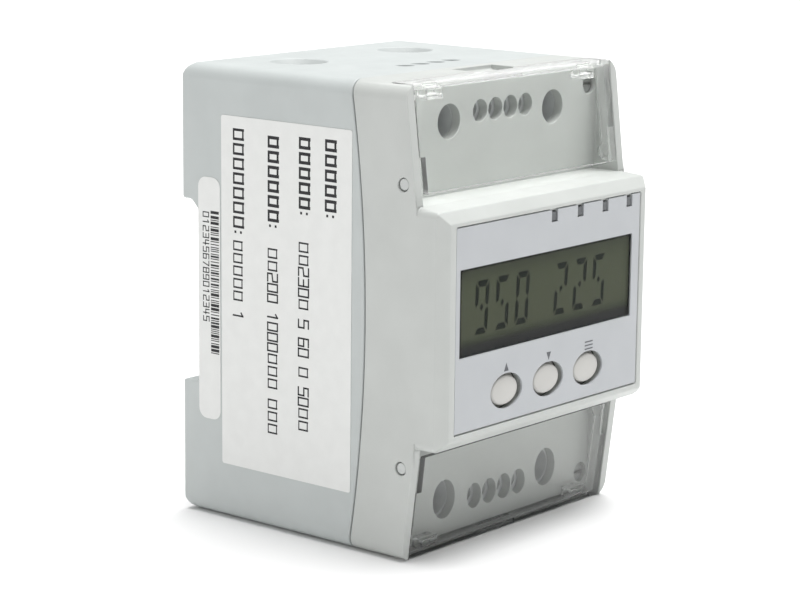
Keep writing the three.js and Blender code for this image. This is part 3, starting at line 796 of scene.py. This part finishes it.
COVER_LIFT = 0.05           # the cover's face stands this far behind the cheeks' edges
SUNK = 0.5                  # how deep a flange starts inside the wall it stands on
FLANGE_THICK = 1.0
EAR_SLOT_X = (28.6, 29.9)
EAR_SLOT_TOP = 75.8
EAR_SLOT_DEEP = 2.0
SEAL_DEPTH = 11.5           # hole for a seal's wire through each lug
SEAL_Z = 87.0
SEAL_RADIUS = 0.8
FINGER_OUTER = (-7.6, 6.6)  # finger notch in the return's rear edge
FINGER_INNER = (-5.6, 4.6)


def cheek_depth(z):
    return CHEEK_INNER + (CHEEK_END - CHEEK_INNER) * (z - BEZEL_HIGH) / (HEIGHT - BEZEL_HIGH)


def terminal_cover():
    """The upper clear cover with its return, flanges, ears and sealing lugs."""
    under = HEIGHT - COVER_THICK

    def face(z):
        return cheek_depth(z) + COVER_LIFT

    shell = rounded([
        (face(COVER_INNER), COVER_INNER, 0),
        (face(HEIGHT), HEIGHT, 0.7),
        (RETURN_END, HEIGHT, 0),
        (RETURN_END, under, 0),
        (face(under) + COVER_THICK, under, 0.3),
        (face(COVER_INNER) + COVER_THICK, COVER_INNER, 0),
    ])
    flange = [
        (face(COVER_INNER) + SUNK, COVER_INNER),
        (face(HEIGHT) + SUNK, HEIGHT - SUNK),
        (face(HEIGHT) + FLANGE, HEIGHT - SUNK),
        (face(COVER_INNER) + FLANGE, COVER_INNER),
    ]
    ear = oval(TRUNNION_DEPTH, TRUNNION_Z, EAR_RADIUS)
    seal = oval(SEAL_DEPTH, SEAL_Z, SEAL_RADIUS, sides=28)
    slot_depth = (0, face(COVER_INNER) + EAR_SLOT_DEEP)
    pieces = []
    cuts = []
    for side in (-1, 1):
        edge = mirrored(side, COVER_HALF - FLANGE_THICK, COVER_HALF)
        pieces.append(prism("x", flange, edge))
        pieces.append(prism("x", ear, edge))
        pieces.append(block(mirrored(side, *LUG_X), LUG_DEPTH, (LUG_Z, under + 0.2)))
        cuts.append(block(mirrored(side, *EAR_SLOT_X), slot_depth, (COVER_INNER - OVERRUN, EAR_SLOT_TOP)))
        cuts.append(prism("x", seal, mirrored(side, LUG_X[0] - OVERRUN, LUG_X[1] + OVERRUN)))
    finger = [
        (FINGER_OUTER[0], RETURN_END + OVERRUN),
        (FINGER_INNER[0], RETURN_END - NOTCH_DEEP),
        (FINGER_INNER[1], RETURN_END - NOTCH_DEEP),
        (FINGER_OUTER[1], RETURN_END + OVERRUN),
    ]
    cuts.append(prism("z", finger, (HEIGHT - 2, HEIGHT + OVERRUN)))
    return cut(union(prism("x", shell, (-COVER_HALF, COVER_HALF)), *pieces), *cuts)


def cover_pins():
    """The two pins of a cover, which end just inside the cheeks' outer faces."""
    axle = oval(TRUNNION_DEPTH, TRUNNION_Z, TRUNNION_RADIUS, sides=SMALL_ROUND)
    reach = (COVER_HALF + 0.01, HALF_WIDTH - 0.35)
    return joined([prism("x", axle, mirrored(side, *reach)) for side in (-1, 1)])


# ---------------------------------------------------------------- faceplate, display and keys

def display_overlay():
    through = (OVERLAY_FRONT - OVERRUN, OVERLAY_BACK + OVERRUN)
    outline = rectangle((OVERLAY_LOW, OVERLAY_HIGH), (-OVERLAY_HALF, OVERLAY_HALF), 0.25, 4)
    return cut(
        prism("y", outline, (OVERLAY_FRONT, OVERLAY_BACK)),
        block(WINDOW_X, through, WINDOW_Z),
        *[prism("y", oval(BUTTON_Z, x, HOLE_Z, HOLE_X), through) for x in BUTTON_XS.values()],
        *[block(around(x, LIGHT_HALF), through, (LIGHT_Z[0], LIGHT_Z[1] + OVERRUN)) for x in LIGHT_XS],
    )


CAP_FRONT = 0.25
CAP_EDGE = 0.7          # width of the cap's rounded edge
CAP_EDGE_DEEP = 0.55
CAP_DOME = 0.22         # rise of the cap's face
BUTTON_RIM = 0.6
BUTTON_STEM = 1.5


def push_button(x):
    """Cap with a soft edge and a slightly domed face, on the flange that keeps it in its hole."""
    inner = 1 - CAP_EDGE / CAP_X
    dome_steps = 6
    edge_steps = 7
    rings = []
    for k in range(1, dome_steps):
        share = k / dome_steps
        rings.append((CAP_FRONT + CAP_DOME * share ** 2, share * inner))
    for k in range(edge_steps + 1):
        turn = math.pi / 2 * k / edge_steps
        depth = CAP_FRONT + CAP_DOME + CAP_EDGE_DEEP * (1 - math.cos(turn))
        rings.append((depth, inner + (1 - inner) * math.sin(turn)))
    rings.append((FRONT_WALL + 0.8, 1.0))
    body = []
    for depth, share in rings:
        body.append([(p[1], depth, p[0]) for p in oval(BUTTON_Z, x, CAP_Z * share, CAP_X * share)])
    flange = oval(BUTTON_Z, x, HOLE_Z + BUTTON_RIM, HOLE_X + BUTTON_RIM)
    stem = rod(x, BUTTON_Z, BUTTON_STEM, (FRONT_WALL + 1, FRONT_WALL + 2), sides=TINY_ROUND)
    return union(loft(body), prism("y", flange, (FRONT_WALL + 0.3, FRONT_WALL + 1.1)), stem)


DIGIT_LEFTS = (-22.6, -16.4, -10.3, 1.85, 7.95, 14.1)
DIGIT_FOOT = 42.9
DIGIT_WIDTH = 4.0
DIGIT_HEIGHT = 10.0
SLANT = 0.06
STROKE = 0.95           # thickness of the level strokes
UPRIGHT = 0.98          # thickness of the upright strokes
STROKE_GAP = 0.14
SEGMENTS_OF = {
    "0": "abcdef", "1": "bc", "2": "abdeg", "3": "abcdg", "4": "bcfg",
    "5": "acdfg", "6": "acdefg", "7": "abc", "8": "abcdefg", "9": "abcdfg",
}


def segment_outlines():
    """Outlines (x, z) of the seven strokes of a digit whose lower left corner is the origin."""
    w, h, t, gap, bar = DIGIT_WIDTH, DIGIT_HEIGHT, STROKE, STROKE_GAP, UPRIGHT
    half = h / 2
    top = [(gap + 0.2, h), (w - gap - 0.2, h), (w - t - 0.1, h - 1.25 * t), (t + 0.1, h - 1.25 * t)]
    middle = [(bar + 0.5, half), (bar + 1.0, half + 0.7), (w - bar - 1.0, half + 0.7),
              (w - bar - 0.5, half), (w - bar - 1.0, half - 0.7), (bar + 1.0, half - 0.7)]
    right_up = [(w, h - gap - 0.3), (w, half + 0.75), (w - 0.3, half + gap), (w - bar, half + 0.75),
                (w - bar, h - t - gap - 0.35)]
    outlines = {"a": top, "g": middle, "b": right_up}
    outlines["c"] = [(x, h - z) for x, z in right_up]
    outlines["f"] = [(w - x, z) for x, z in right_up]
    outlines["e"] = [(w - x, h - z) for x, z in right_up]
    outlines["d"] = [(x, h - z) for x, z in top]
    return outlines


def oriented(outline):
    """The outline's points, always in the same turning direction."""
    area = sum(a[0] * b[1] - b[0] * a[1] for a, b in zip(outline, outline[1:] + outline[:1]))
    return outline if area > 0 else outline[::-1]


def display_digits(text, lefts, foot):
    strokes = segment_outlines()
    solids = []
    for digit, left in zip(text, lefts):
        for key in SEGMENTS_OF[digit]:
            outline = [(z + foot, left + x + SLANT * z) for x, z in strokes[key]]
            solids.append(prism("y", oriented(outline), (PANEL_DEPTH[0] - 0.03, PANEL_DEPTH[0] + 0.05)))
    return joined(solids)


MARK_Z = 35.6
ARROW_XS = ((-13.5, 1), (-0.33, -1))    # middle of each arrow, and whether it points up or down
ARROW_HALF = 0.7
ARROW_BASE = 0.75
ARROW_TIP = 0.85
MENU_X = 12.65
MENU_LINES = (-0.7, 0, 0.7)
MENU_HALF = 1.3
MENU_THICK = 0.13


def overlay_print():
    """Arrows over the first two keys and a menu mark over the third."""
    span = (OVERLAY_FRONT - 0.02, OVERLAY_FRONT + 0.05)
    marks = []
    for x, way in ARROW_XS:
        base = MARK_Z - way * ARROW_BASE
        arrow = [(base, x - ARROW_HALF), (MARK_Z + way * ARROW_TIP, x), (base, x + ARROW_HALF)]
        marks.append(prism("y", oriented(arrow), span))
    for line in MENU_LINES:
        marks.append(block(around(MENU_X, MENU_HALF), span, around(MARK_Z + line, MENU_THICK)))
    return joined(marks)


# ---------------------------------------------------------------- terminals

CARRIER_HALF = 23.4
CARRIER_BACK = 58.8
CARRIER_Z = (72.6, 86.7)
# A pocket's bores, as (radius, depths), for the screwdriver, the screw's head and its shank, then
# the clamp's space and the slot for the bar or board, as (half width, depths, heights).
MAIN_POCKET = (
    ((MAIN_ACCESS, (15, 29)), (3.7, (28.6, 32.8)), (2.7, (32, 36))),
    ((5.6, (35.7, 60), (74.8, 87)), (3.6, (43.5, 45.9), (72, 75))),
)
SIGNAL_POCKET = (
    ((1.5, (15, 18)), (1.85, (17.8, 20.2)), (1.3, (20, 22))),
    ((1.95, (21.6, 34.8), (78.6, 87)), (1.2, (27.4, 29.8), (72, 79))),
)


def terminal_block():
    """Carrier of one end's clamps."""
    cuts = []
    for xs, z, (bores, spaces) in ((MAIN_XS, MAIN_Z, MAIN_POCKET), (SIGNAL_XS, SIGNAL_Z, SIGNAL_POCKET)):
        for x in xs:
            cuts += [rod(x, z, radius, depths) for radius, depths in bores]
            cuts += [block(around(x, half), depths, heights) for half, depths, heights in spaces]
    return cut(block((-CARRIER_HALF, CARRIER_HALF), (DECK_BACK + 0.05, CARRIER_BACK), CARRIER_Z), *cuts)


THREAD_DEEP = 0.14
THREAD_START = 0.2      # from under the head
THREAD_END = 0.6        # from the tip
SLOT_DEPTH = 1.3        # in slot widths


def screw(head, shank, top, neck, tip, slot, pitch):
    """Slotted cheese-head screw about the depth axis, with a rolled thread."""
    root = shank - THREAD_DEEP
    rings = [(top, head - 0.25), (top + 0.08, head - 0.1), (top + 0.25, head)]
    rings += [(neck, head), (neck + 0.01, shank)]
    turns = int((tip - neck - THREAD_START - THREAD_END) / pitch)
    for i in range(turns):
        start = neck + THREAD_START + pitch * i
        rings.append((start, root))
        rings.append((start + pitch / 2, shank))
    rings.append((tip - THREAD_END, root))
    rings.append((tip, shank * 0.55))
    body = loft([[(p[0], depth, p[1]) for p in oval(0, 0, r, sides=36)] for depth, r in rings])
    deep = (top - OVERRUN, top + slot * SLOT_DEPTH)
    return cut(body, block(around(0, head + OVERRUN), deep, around(0, slot / 2)))


MAIN_SCREW = screw(head=3.4, shank=2.3, top=29, neck=32.4, tip=43.5, slot=1.1, pitch=0.8)
SIGNAL_SCREW = screw(head=1.6, shank=1.0, top=18.1, neck=19.8, tip=27.3, slot=0.6, pitch=0.45)
CASE_SCREW = screw(head=1.95, shank=1.2, top=13.7, neck=15.2, tip=38, slot=0.6, pitch=1.0)

SPRING_WIRE = 0.3
SPRING_RADIUS = 1.0
SPRING_TURNS = 6
SPRING_GAP = 0.1        # between the wire and what it presses on


def latch_spring():
    """Compression spring wound round z."""
    wire = SPRING_WIRE
    low = PEG_Z[1] + wire + SPRING_GAP
    high = LATCH_WINDOW_Z[1] - wire - SPRING_GAP
    steps = SPRING_TURNS * 28
    sides = 10
    depth = (LATCH_FRONT + LATCH_BACK) / 2
    rings = []
    for i in range(steps + 1):
        share = i / steps
        angle = 2 * math.pi * SPRING_TURNS * share
        out = Vector((math.cos(angle), math.sin(angle), 0))
        centre = Vector((0, depth, low + (high - low) * share)) + out * SPRING_RADIUS
        ring = []
        for k in range(sides):
            turn = 2 * math.pi * k / sides
            ring.append(centre + out * (wire * math.cos(turn)) + Vector((0, 0, wire * math.sin(turn))))
        rings.append(ring)
    return loft(rings)


# ---------------------------------------------------------------- stickers

LABEL_FACE = -HALF_WIDTH - 0.1
LABEL_BACK = -HALF_WIDTH - 0.02
PRINT_SPAN = (LABEL_FACE - 0.006, LABEL_FACE + 0.02)

NUMERAL_HEIGHT = 1.7
NUMERAL_PITCH = 1.55
# Strokes of a plain numeral in a box one unit wide and NUMERAL_HEIGHT tall: runs of (across, up).
NUMERALS = {
    "0": [[(0, 0), (1, 0), (1, 1.7), (0, 1.7), (0, 0)]],
    "1": [[(0.2, 1.4), (0.6, 1.7), (0.6, 0)]],
    "2": [[(0, 1.7), (1, 1.7), (1, 0.9), (0, 0.75), (0, 0), (1, 0)]],
    "3": [[(0, 1.7), (1, 1.7), (1, 0), (0, 0)], [(0.2, 0.85), (1, 0.85)]],
    "4": [[(0, 1.7), (0, 0.7), (1, 0.7)], [(0.75, 1.7), (0.75, 0)]],
    "5": [[(1, 1.7), (0, 1.7), (0, 0.95), (1, 0.95), (1, 0), (0, 0)]],
    "6": [[(1, 1.7), (0, 1.7), (0, 0), (1, 0), (1, 0.9), (0, 0.9)]],
    "7": [[(0, 1.7), (1, 1.7), (0.4, 0)]],
    "8": [[(0, 0), (1, 0), (1, 1.7), (0, 1.7), (0, 0)], [(0, 0.87), (1, 0.87)]],
    "9": [[(0, 0), (1, 0), (1, 1.7), (0, 1.7), (0, 0.8), (1, 0.8)]],
}


def stroke(start, end, weight):
    """Outline of one straight stroke with square ends."""
    start = Vector(start)
    end = Vector(end)
    along = (end - start).normalized() * weight / 2
    side = Vector((-along.y, along.x))
    return [start - along - side, end + along - side, end + along + side, start - along + side]


def numerals(text, top, foot, height, weight):
    """Numerals read downward from z = top, standing on depth = foot with their heads to the front."""
    scale = height / NUMERAL_HEIGHT
    advance = scale * NUMERAL_PITCH
    outlines = []
    for i, numeral in enumerate(text):
        for run in NUMERALS[numeral]:
            for a, b in zip(run, run[1:]):
                line = stroke(a, b, weight / scale)
                outlines.append([(foot - p[1] * scale, top - (i * advance + p[0] * scale)) for p in line])
    return outlines


# Widths in a printed line and levels of a colon's dots, as shares of its height.
BOX_WIDTH = 0.78
NUMERAL_WIDTH = 0.6
SPACE_WIDTH = 0.62
DOT = 0.17
DOT_LEVELS = (0.12, 0.62)


def printed(text, top, foot, height, weight, pitch):
    """One line read downward from z = top: numerals as they are, and for "#" a plain box."""
    outlines = []
    z = top
    for mark in text:
        if mark == "#":
            wide = height * BOX_WIDTH
            outlines += box_outlines(z, z - wide, foot, height, weight)
            z -= wide + pitch
        elif mark == ":":
            for level in DOT_LEVELS:
                outlines.append(bar(z, z - height * DOT, foot - height * level, height * DOT))
            z -= height * DOT + pitch
        elif mark == " ":
            z -= height * SPACE_WIDTH
        else:
            outlines += numerals(mark, z, foot, height, weight)
            z -= height * NUMERAL_WIDTH + pitch
    return outlines


def box_outlines(top, low, foot, height, weight):
    """Two uprights, joined at foot and head by thinner strokes."""
    sides = [bar(top, top - weight, foot, height), bar(low + weight, low, foot, height)]
    reach = weight * 0.9
    ends = [bar(top - reach, low + reach, foot - level, weight * 0.8) for level in (0, height - weight)]
    return sides + ends


def bar(top, low, foot, height):
    """A filled rectangle that stands on depth = foot, from z = top down to z = low."""
    return [(foot - height, top), (foot, top), (foot, low), (foot - height, low)]


def sticker(depth, z, radius):
    return prism("x", rectangle(depth, z, radius, 6), (LABEL_FACE, LABEL_BACK))


# ---------------------------------------------------------------- the pieces

# Lines of the rating label: depth of the letters' foot, letter height, heading's top and text with
# its stroke, then the value's top and text.
RATING_ROWS = (
    (28.5, 2.9, 77.5, "#####:", 0.62, 0, ""),
    (35.0, 2.9, 77.3, "#####:", 0.62, 57.5, "##230# 5 60 # 50##"),
    (42.9, 2.9, 76.8, "######:", 0.62, 55.4, "##200 1000### ###"),
    (51.9, 2.9, 77.4, "#######:", 0.5, 55.8, "##### 1"),
)
HEADING_PITCH = 0.55
VALUE_WEIGHT = 0.34
VALUE_PITCH = 0.5
VALUE_SIZE = 0.86       # of the heading's height


def rating_print():
    outlines = []
    for foot, height, top, heading, weight, value_top, value in RATING_ROWS:
        outlines += printed(heading, top, foot, height, weight, HEADING_PITCH)
        outlines += printed(value, value_top, foot, height * VALUE_SIZE, VALUE_WEIGHT, VALUE_PITCH)
    return outlines


BARS_Z = (32.8, 60.8)
BARS_FOOT = 57.9
BARS_HEIGHT = 2.2
BAR_MODULE = 0.19


def barcode():
    """Bars of one to three modules, drawn from a seeded sequence that stands for no number."""
    rng = random.Random(11)
    outlines = []
    z = BARS_Z[1]
    while z > BARS_Z[0]:
        width = BAR_MODULE * rng.choice((1, 1, 2, 3))
        outlines.append(bar(z, z - width, BARS_FOOT, BARS_HEIGHT))
        z -= width + BAR_MODULE * rng.choice((1, 1, 2))
    return outlines


def print_solid(outlines):
    return joined([prism("x", oriented([Vector(p) for p in o]), PRINT_SPAN) for o in outlines])


piece("shell_rear", rear_housing(), REAR_SHELL, "housing", 0.3, 3, ["rear_housing"])


def within_cheeks(a, b):
    """Edges of the decks, their holes and the faceplate's recess, which lie close together."""
    return min(a.y, b.y) > 0.3 and max(abs(a.x), abs(b.x)) < INSIDE + 0.1


piece("shell_front", front_cover(), FRONT_SHELL, "housing", 0.22, 3, ["front_cover"],
      fine=within_cheeks)

flap = terminal_cover()
for level, mesh in (("upper", flap), ("lower", flipped(flap))):
    node = f"{level}_terminal_cover"
    shown = piece(f"flap_{level}", mesh, CLEAR, f"{level}_cover", 0.12, 3, [node])
    shown.visible_shadow = False
pins = cover_pins()
for level, mesh in (("upper", pins), ("lower", flipped(pins))):
    piece(f"flap_pins_{level}", mesh, PIN, f"{level}_cover", 0.15, 3)

piece("faceplate", display_overlay(), FACEPLATE, "housing", 0.06, 2, ["display_overlay"])
piece("faceplate_print", overlay_print(), GREY_PRINT, "housing", 0)

pane = block(PANE_X, PANE_DEPTH, PANE_Z)
pane = piece("display_pane", pane, PANE, "housing", 0.08, 2, ["lcd_window"])
pane.visible_shadow = False
panel = block(PANEL_X, PANEL_DEPTH, PANEL_Z)
piece("display_panel", panel, DISPLAY, "housing", 0.1, 2, ["lcd_panel"])
# painted shade: a black frame round the display field, where the window's edges shade it
painted_shade_frame = cut(block(PANEL_X, around(PANEL_DEPTH[0], 0.02), PANEL_Z), block(FIELD_X, (0, 2), FIELD_Z))
piece("display_painted_shade", painted_shade_frame, PAINTED_SHADE_INK, "housing", 0)
digits = display_digits("950225", DIGIT_LEFTS, DIGIT_FOOT)
piece("display_digits", digits, SEGMENT, "housing", 0)

for key, x in BUTTON_XS.items():
    piece(f"key_{key}", push_button(x), BUTTON, f"button_{key}", 0.12, 2, [f"button_{key}"])

GUIDE_HALF = LIGHT_HALF - 0.22
GUIDE_DEPTH = (0.3, BOARD_DEPTH - 0.3)
GUIDE_Z = (LIGHT_Z[0] + 0.2, LIGHT_Z[1] - 0.2)
for i, x in enumerate(LIGHT_XS, 1):
    guide = block(around(x, GUIDE_HALF), GUIDE_DEPTH, GUIDE_Z)
    piece(f"light_guide_{i}", guide, GUIDE, "housing", 0.1, 2, [f"pulse_light_{i}"])

carrier = terminal_block()
for level, mesh in (("upper", carrier), ("lower", flipped(carrier))):
    piece(f"carrier_{level}", mesh, CARRIER, "housing", 0.15, 2, [f"{level}_terminal_block"])

TERMINALS = (("main", MAIN_SCREW, MAIN_XS, MAIN_Z), ("signal", SIGNAL_SCREW, SIGNAL_XS, SIGNAL_Z))
for kind, mesh, xs, z in TERMINALS:
    for level, height in (("upper", z), ("lower", HEIGHT - z)):
        for i, x in enumerate(xs, 1):
            node = f"{kind}_screw_{level}_{i}"
            piece(f"{node}_fine", moved(mesh, x, 0, height), STEEL, node, 0, 0, [node])
for side, x in (("left", -CASE_SCREW_X), ("right", CASE_SCREW_X)):
    for level, z in (("upper", CASE_SCREW_Z), ("lower", HEIGHT - CASE_SCREW_Z)):
        node = f"case_screw_{level}_{side}"
        piece(f"{node}_fine", moved(CASE_SCREW, x, 0, z), STEEL, "housing", 0, 0, [node])

piece("latch_slider", rail_latch(), LATCH, "latch", 0.25, 3, ["rail_latch"])
coil = piece("latch_coil", latch_spring(), STEEL, "housing", 0, 0, ["latch_spring"])
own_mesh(coil)

rating = sticker((21.9, 55), (11.2, 79.7), 0.5)
piece("label_rating", rating, LABEL, "housing", 0, 0, ["rating_label"])
serial = sticker((55.4, 61.2), (19.5, 67.3), 2)
piece("label_serial", serial, LABEL, "housing", 0, 0, ["serial_label"])
piece("rating_print", print_solid(rating_print()), PRINT, "housing", 0)
count = numerals("0123456789012345", top=60.4, foot=59.9, height=1.5, weight=0.22)
piece("serial_print", print_solid(barcode() + count), PRINT, "housing", 0)

# Inner pieces kept as they are: the first word found in the name gives the material.
CARRIED = {
    "board_link": BLACK,
    "board": BOARD,
    "clamp": BRASS,
    "line_shunt": COPPER,
    "neutral_bar": COPPER,
    "smoothing": CAN,
}
for name, node in NODES.items():
    if node.hide_render:
        continue
    node.data.materials.clear()
    node.data.materials.append(next((m for word, m in CARRIED.items() if word in name), BLACK))

# ---------------------------------------------------------------- studio
# Metres from here on.

FLOOR_RADII = (0.2, 0.8, 2.0, 6.0)


def studio_floor():
    """Flat round sheet of pale paper."""
    bm = bmesh.new()
    rings = []
    for radius in FLOOR_RADII:
        turns = [2 * math.pi * i / ROUND for i in range(ROUND)]
        rings.append([bm.verts.new((radius * math.cos(t), radius * math.sin(t), 0)) for t in turns])
    bm.faces.new(rings[0])
    for i in range(ROUND):
        j = (i + 1) % ROUND
        for inner, outer in zip(rings, rings[1:]):
            bm.faces.new((inner[i], outer[i], outer[j], inner[j]))
    floor = bpy.data.objects.new("studio_floor", to_mesh(bm, "studio_floor"))
    bpy.context.scene.collection.objects.link(floor)
    s = Surface("studio_paper", Specular_IOR_Level=0.2)
    s.colour(s.ramp(s.noise(0.4, 2), [(NOISE_LOW, (245, 245, 245)), (NOISE_HIGH, (248, 248, 248))]))
    s.roughness(s.span(s.noise(0.02, 2), (NOISE_LOW, NOISE_HIGH), (0.7, 0.8)))
    s.bump((s.noise(0.002, 2), 0.00005, 0.2))
    floor.data.materials.append(s.material)


def softbox(name, place, size, power, target=(0, 0, 0.045)):
    """Round lamp that looks at the middle of the meter."""
    data = bpy.data.lights.new(name, "AREA")
    data.shape = "DISK"
    data.size = size
    data.energy = power
    lamp = bpy.data.objects.new(name, data)
    lamp.location = place
    lamp.rotation_mode = "QUATERNION"
    lamp.rotation_quaternion = (Vector(target) - Vector(place)).to_track_quat("-Z", "Y")
    bpy.context.scene.collection.objects.link(lamp)
    return lamp


studio_floor()
softbox("light_over", (0.45, -0.08, 2.4), 2.4, 88)
softbox("light_left", (-1.4, 0.3, 0.05), 1.0, 2.5)

world = bpy.data.worlds.new("studio_air")
world.use_nodes = True
world.node_tree.nodes["Background"].inputs["Color"].default_value = (1, 1, 1, 1)
world.node_tree.nodes["Background"].inputs["Strength"].default_value = 0.45
bpy.context.scene.world = world
bpy.context.scene.view_settings.view_transform = "Standard"

# ---------------------------------------------------------------- camera

CAMERA_PLACE = Vector((-0.381226, -0.312962, 0.140893))
CAMERA_AHEAD = Vector((0.75343, 0.62736, -0.19689))
CAMERA_RIGHT = Vector((0.64140, -0.76714, 0.01004))

lens = bpy.data.cameras.new("camera")
lens.lens = 114.59
lens.sensor_width = 36
lens.clip_start = 0.01
lens.clip_end = 20
camera = bpy.data.objects.new("camera", lens)
right = (CAMERA_RIGHT - CAMERA_AHEAD * CAMERA_RIGHT.dot(CAMERA_AHEAD)).normalized()
up = right.cross(CAMERA_AHEAD.normalized())
turned = Matrix((right, up, -CAMERA_AHEAD.normalized())).transposed()
camera.matrix_world = Matrix.Translation(CAMERA_PLACE) @ turned.to_4x4()
bpy.context.scene.collection.objects.link(camera)
bpy.context.scene.camera = camera

# ---------------------------------------------------------------- final update

bpy.context.view_layer.update()
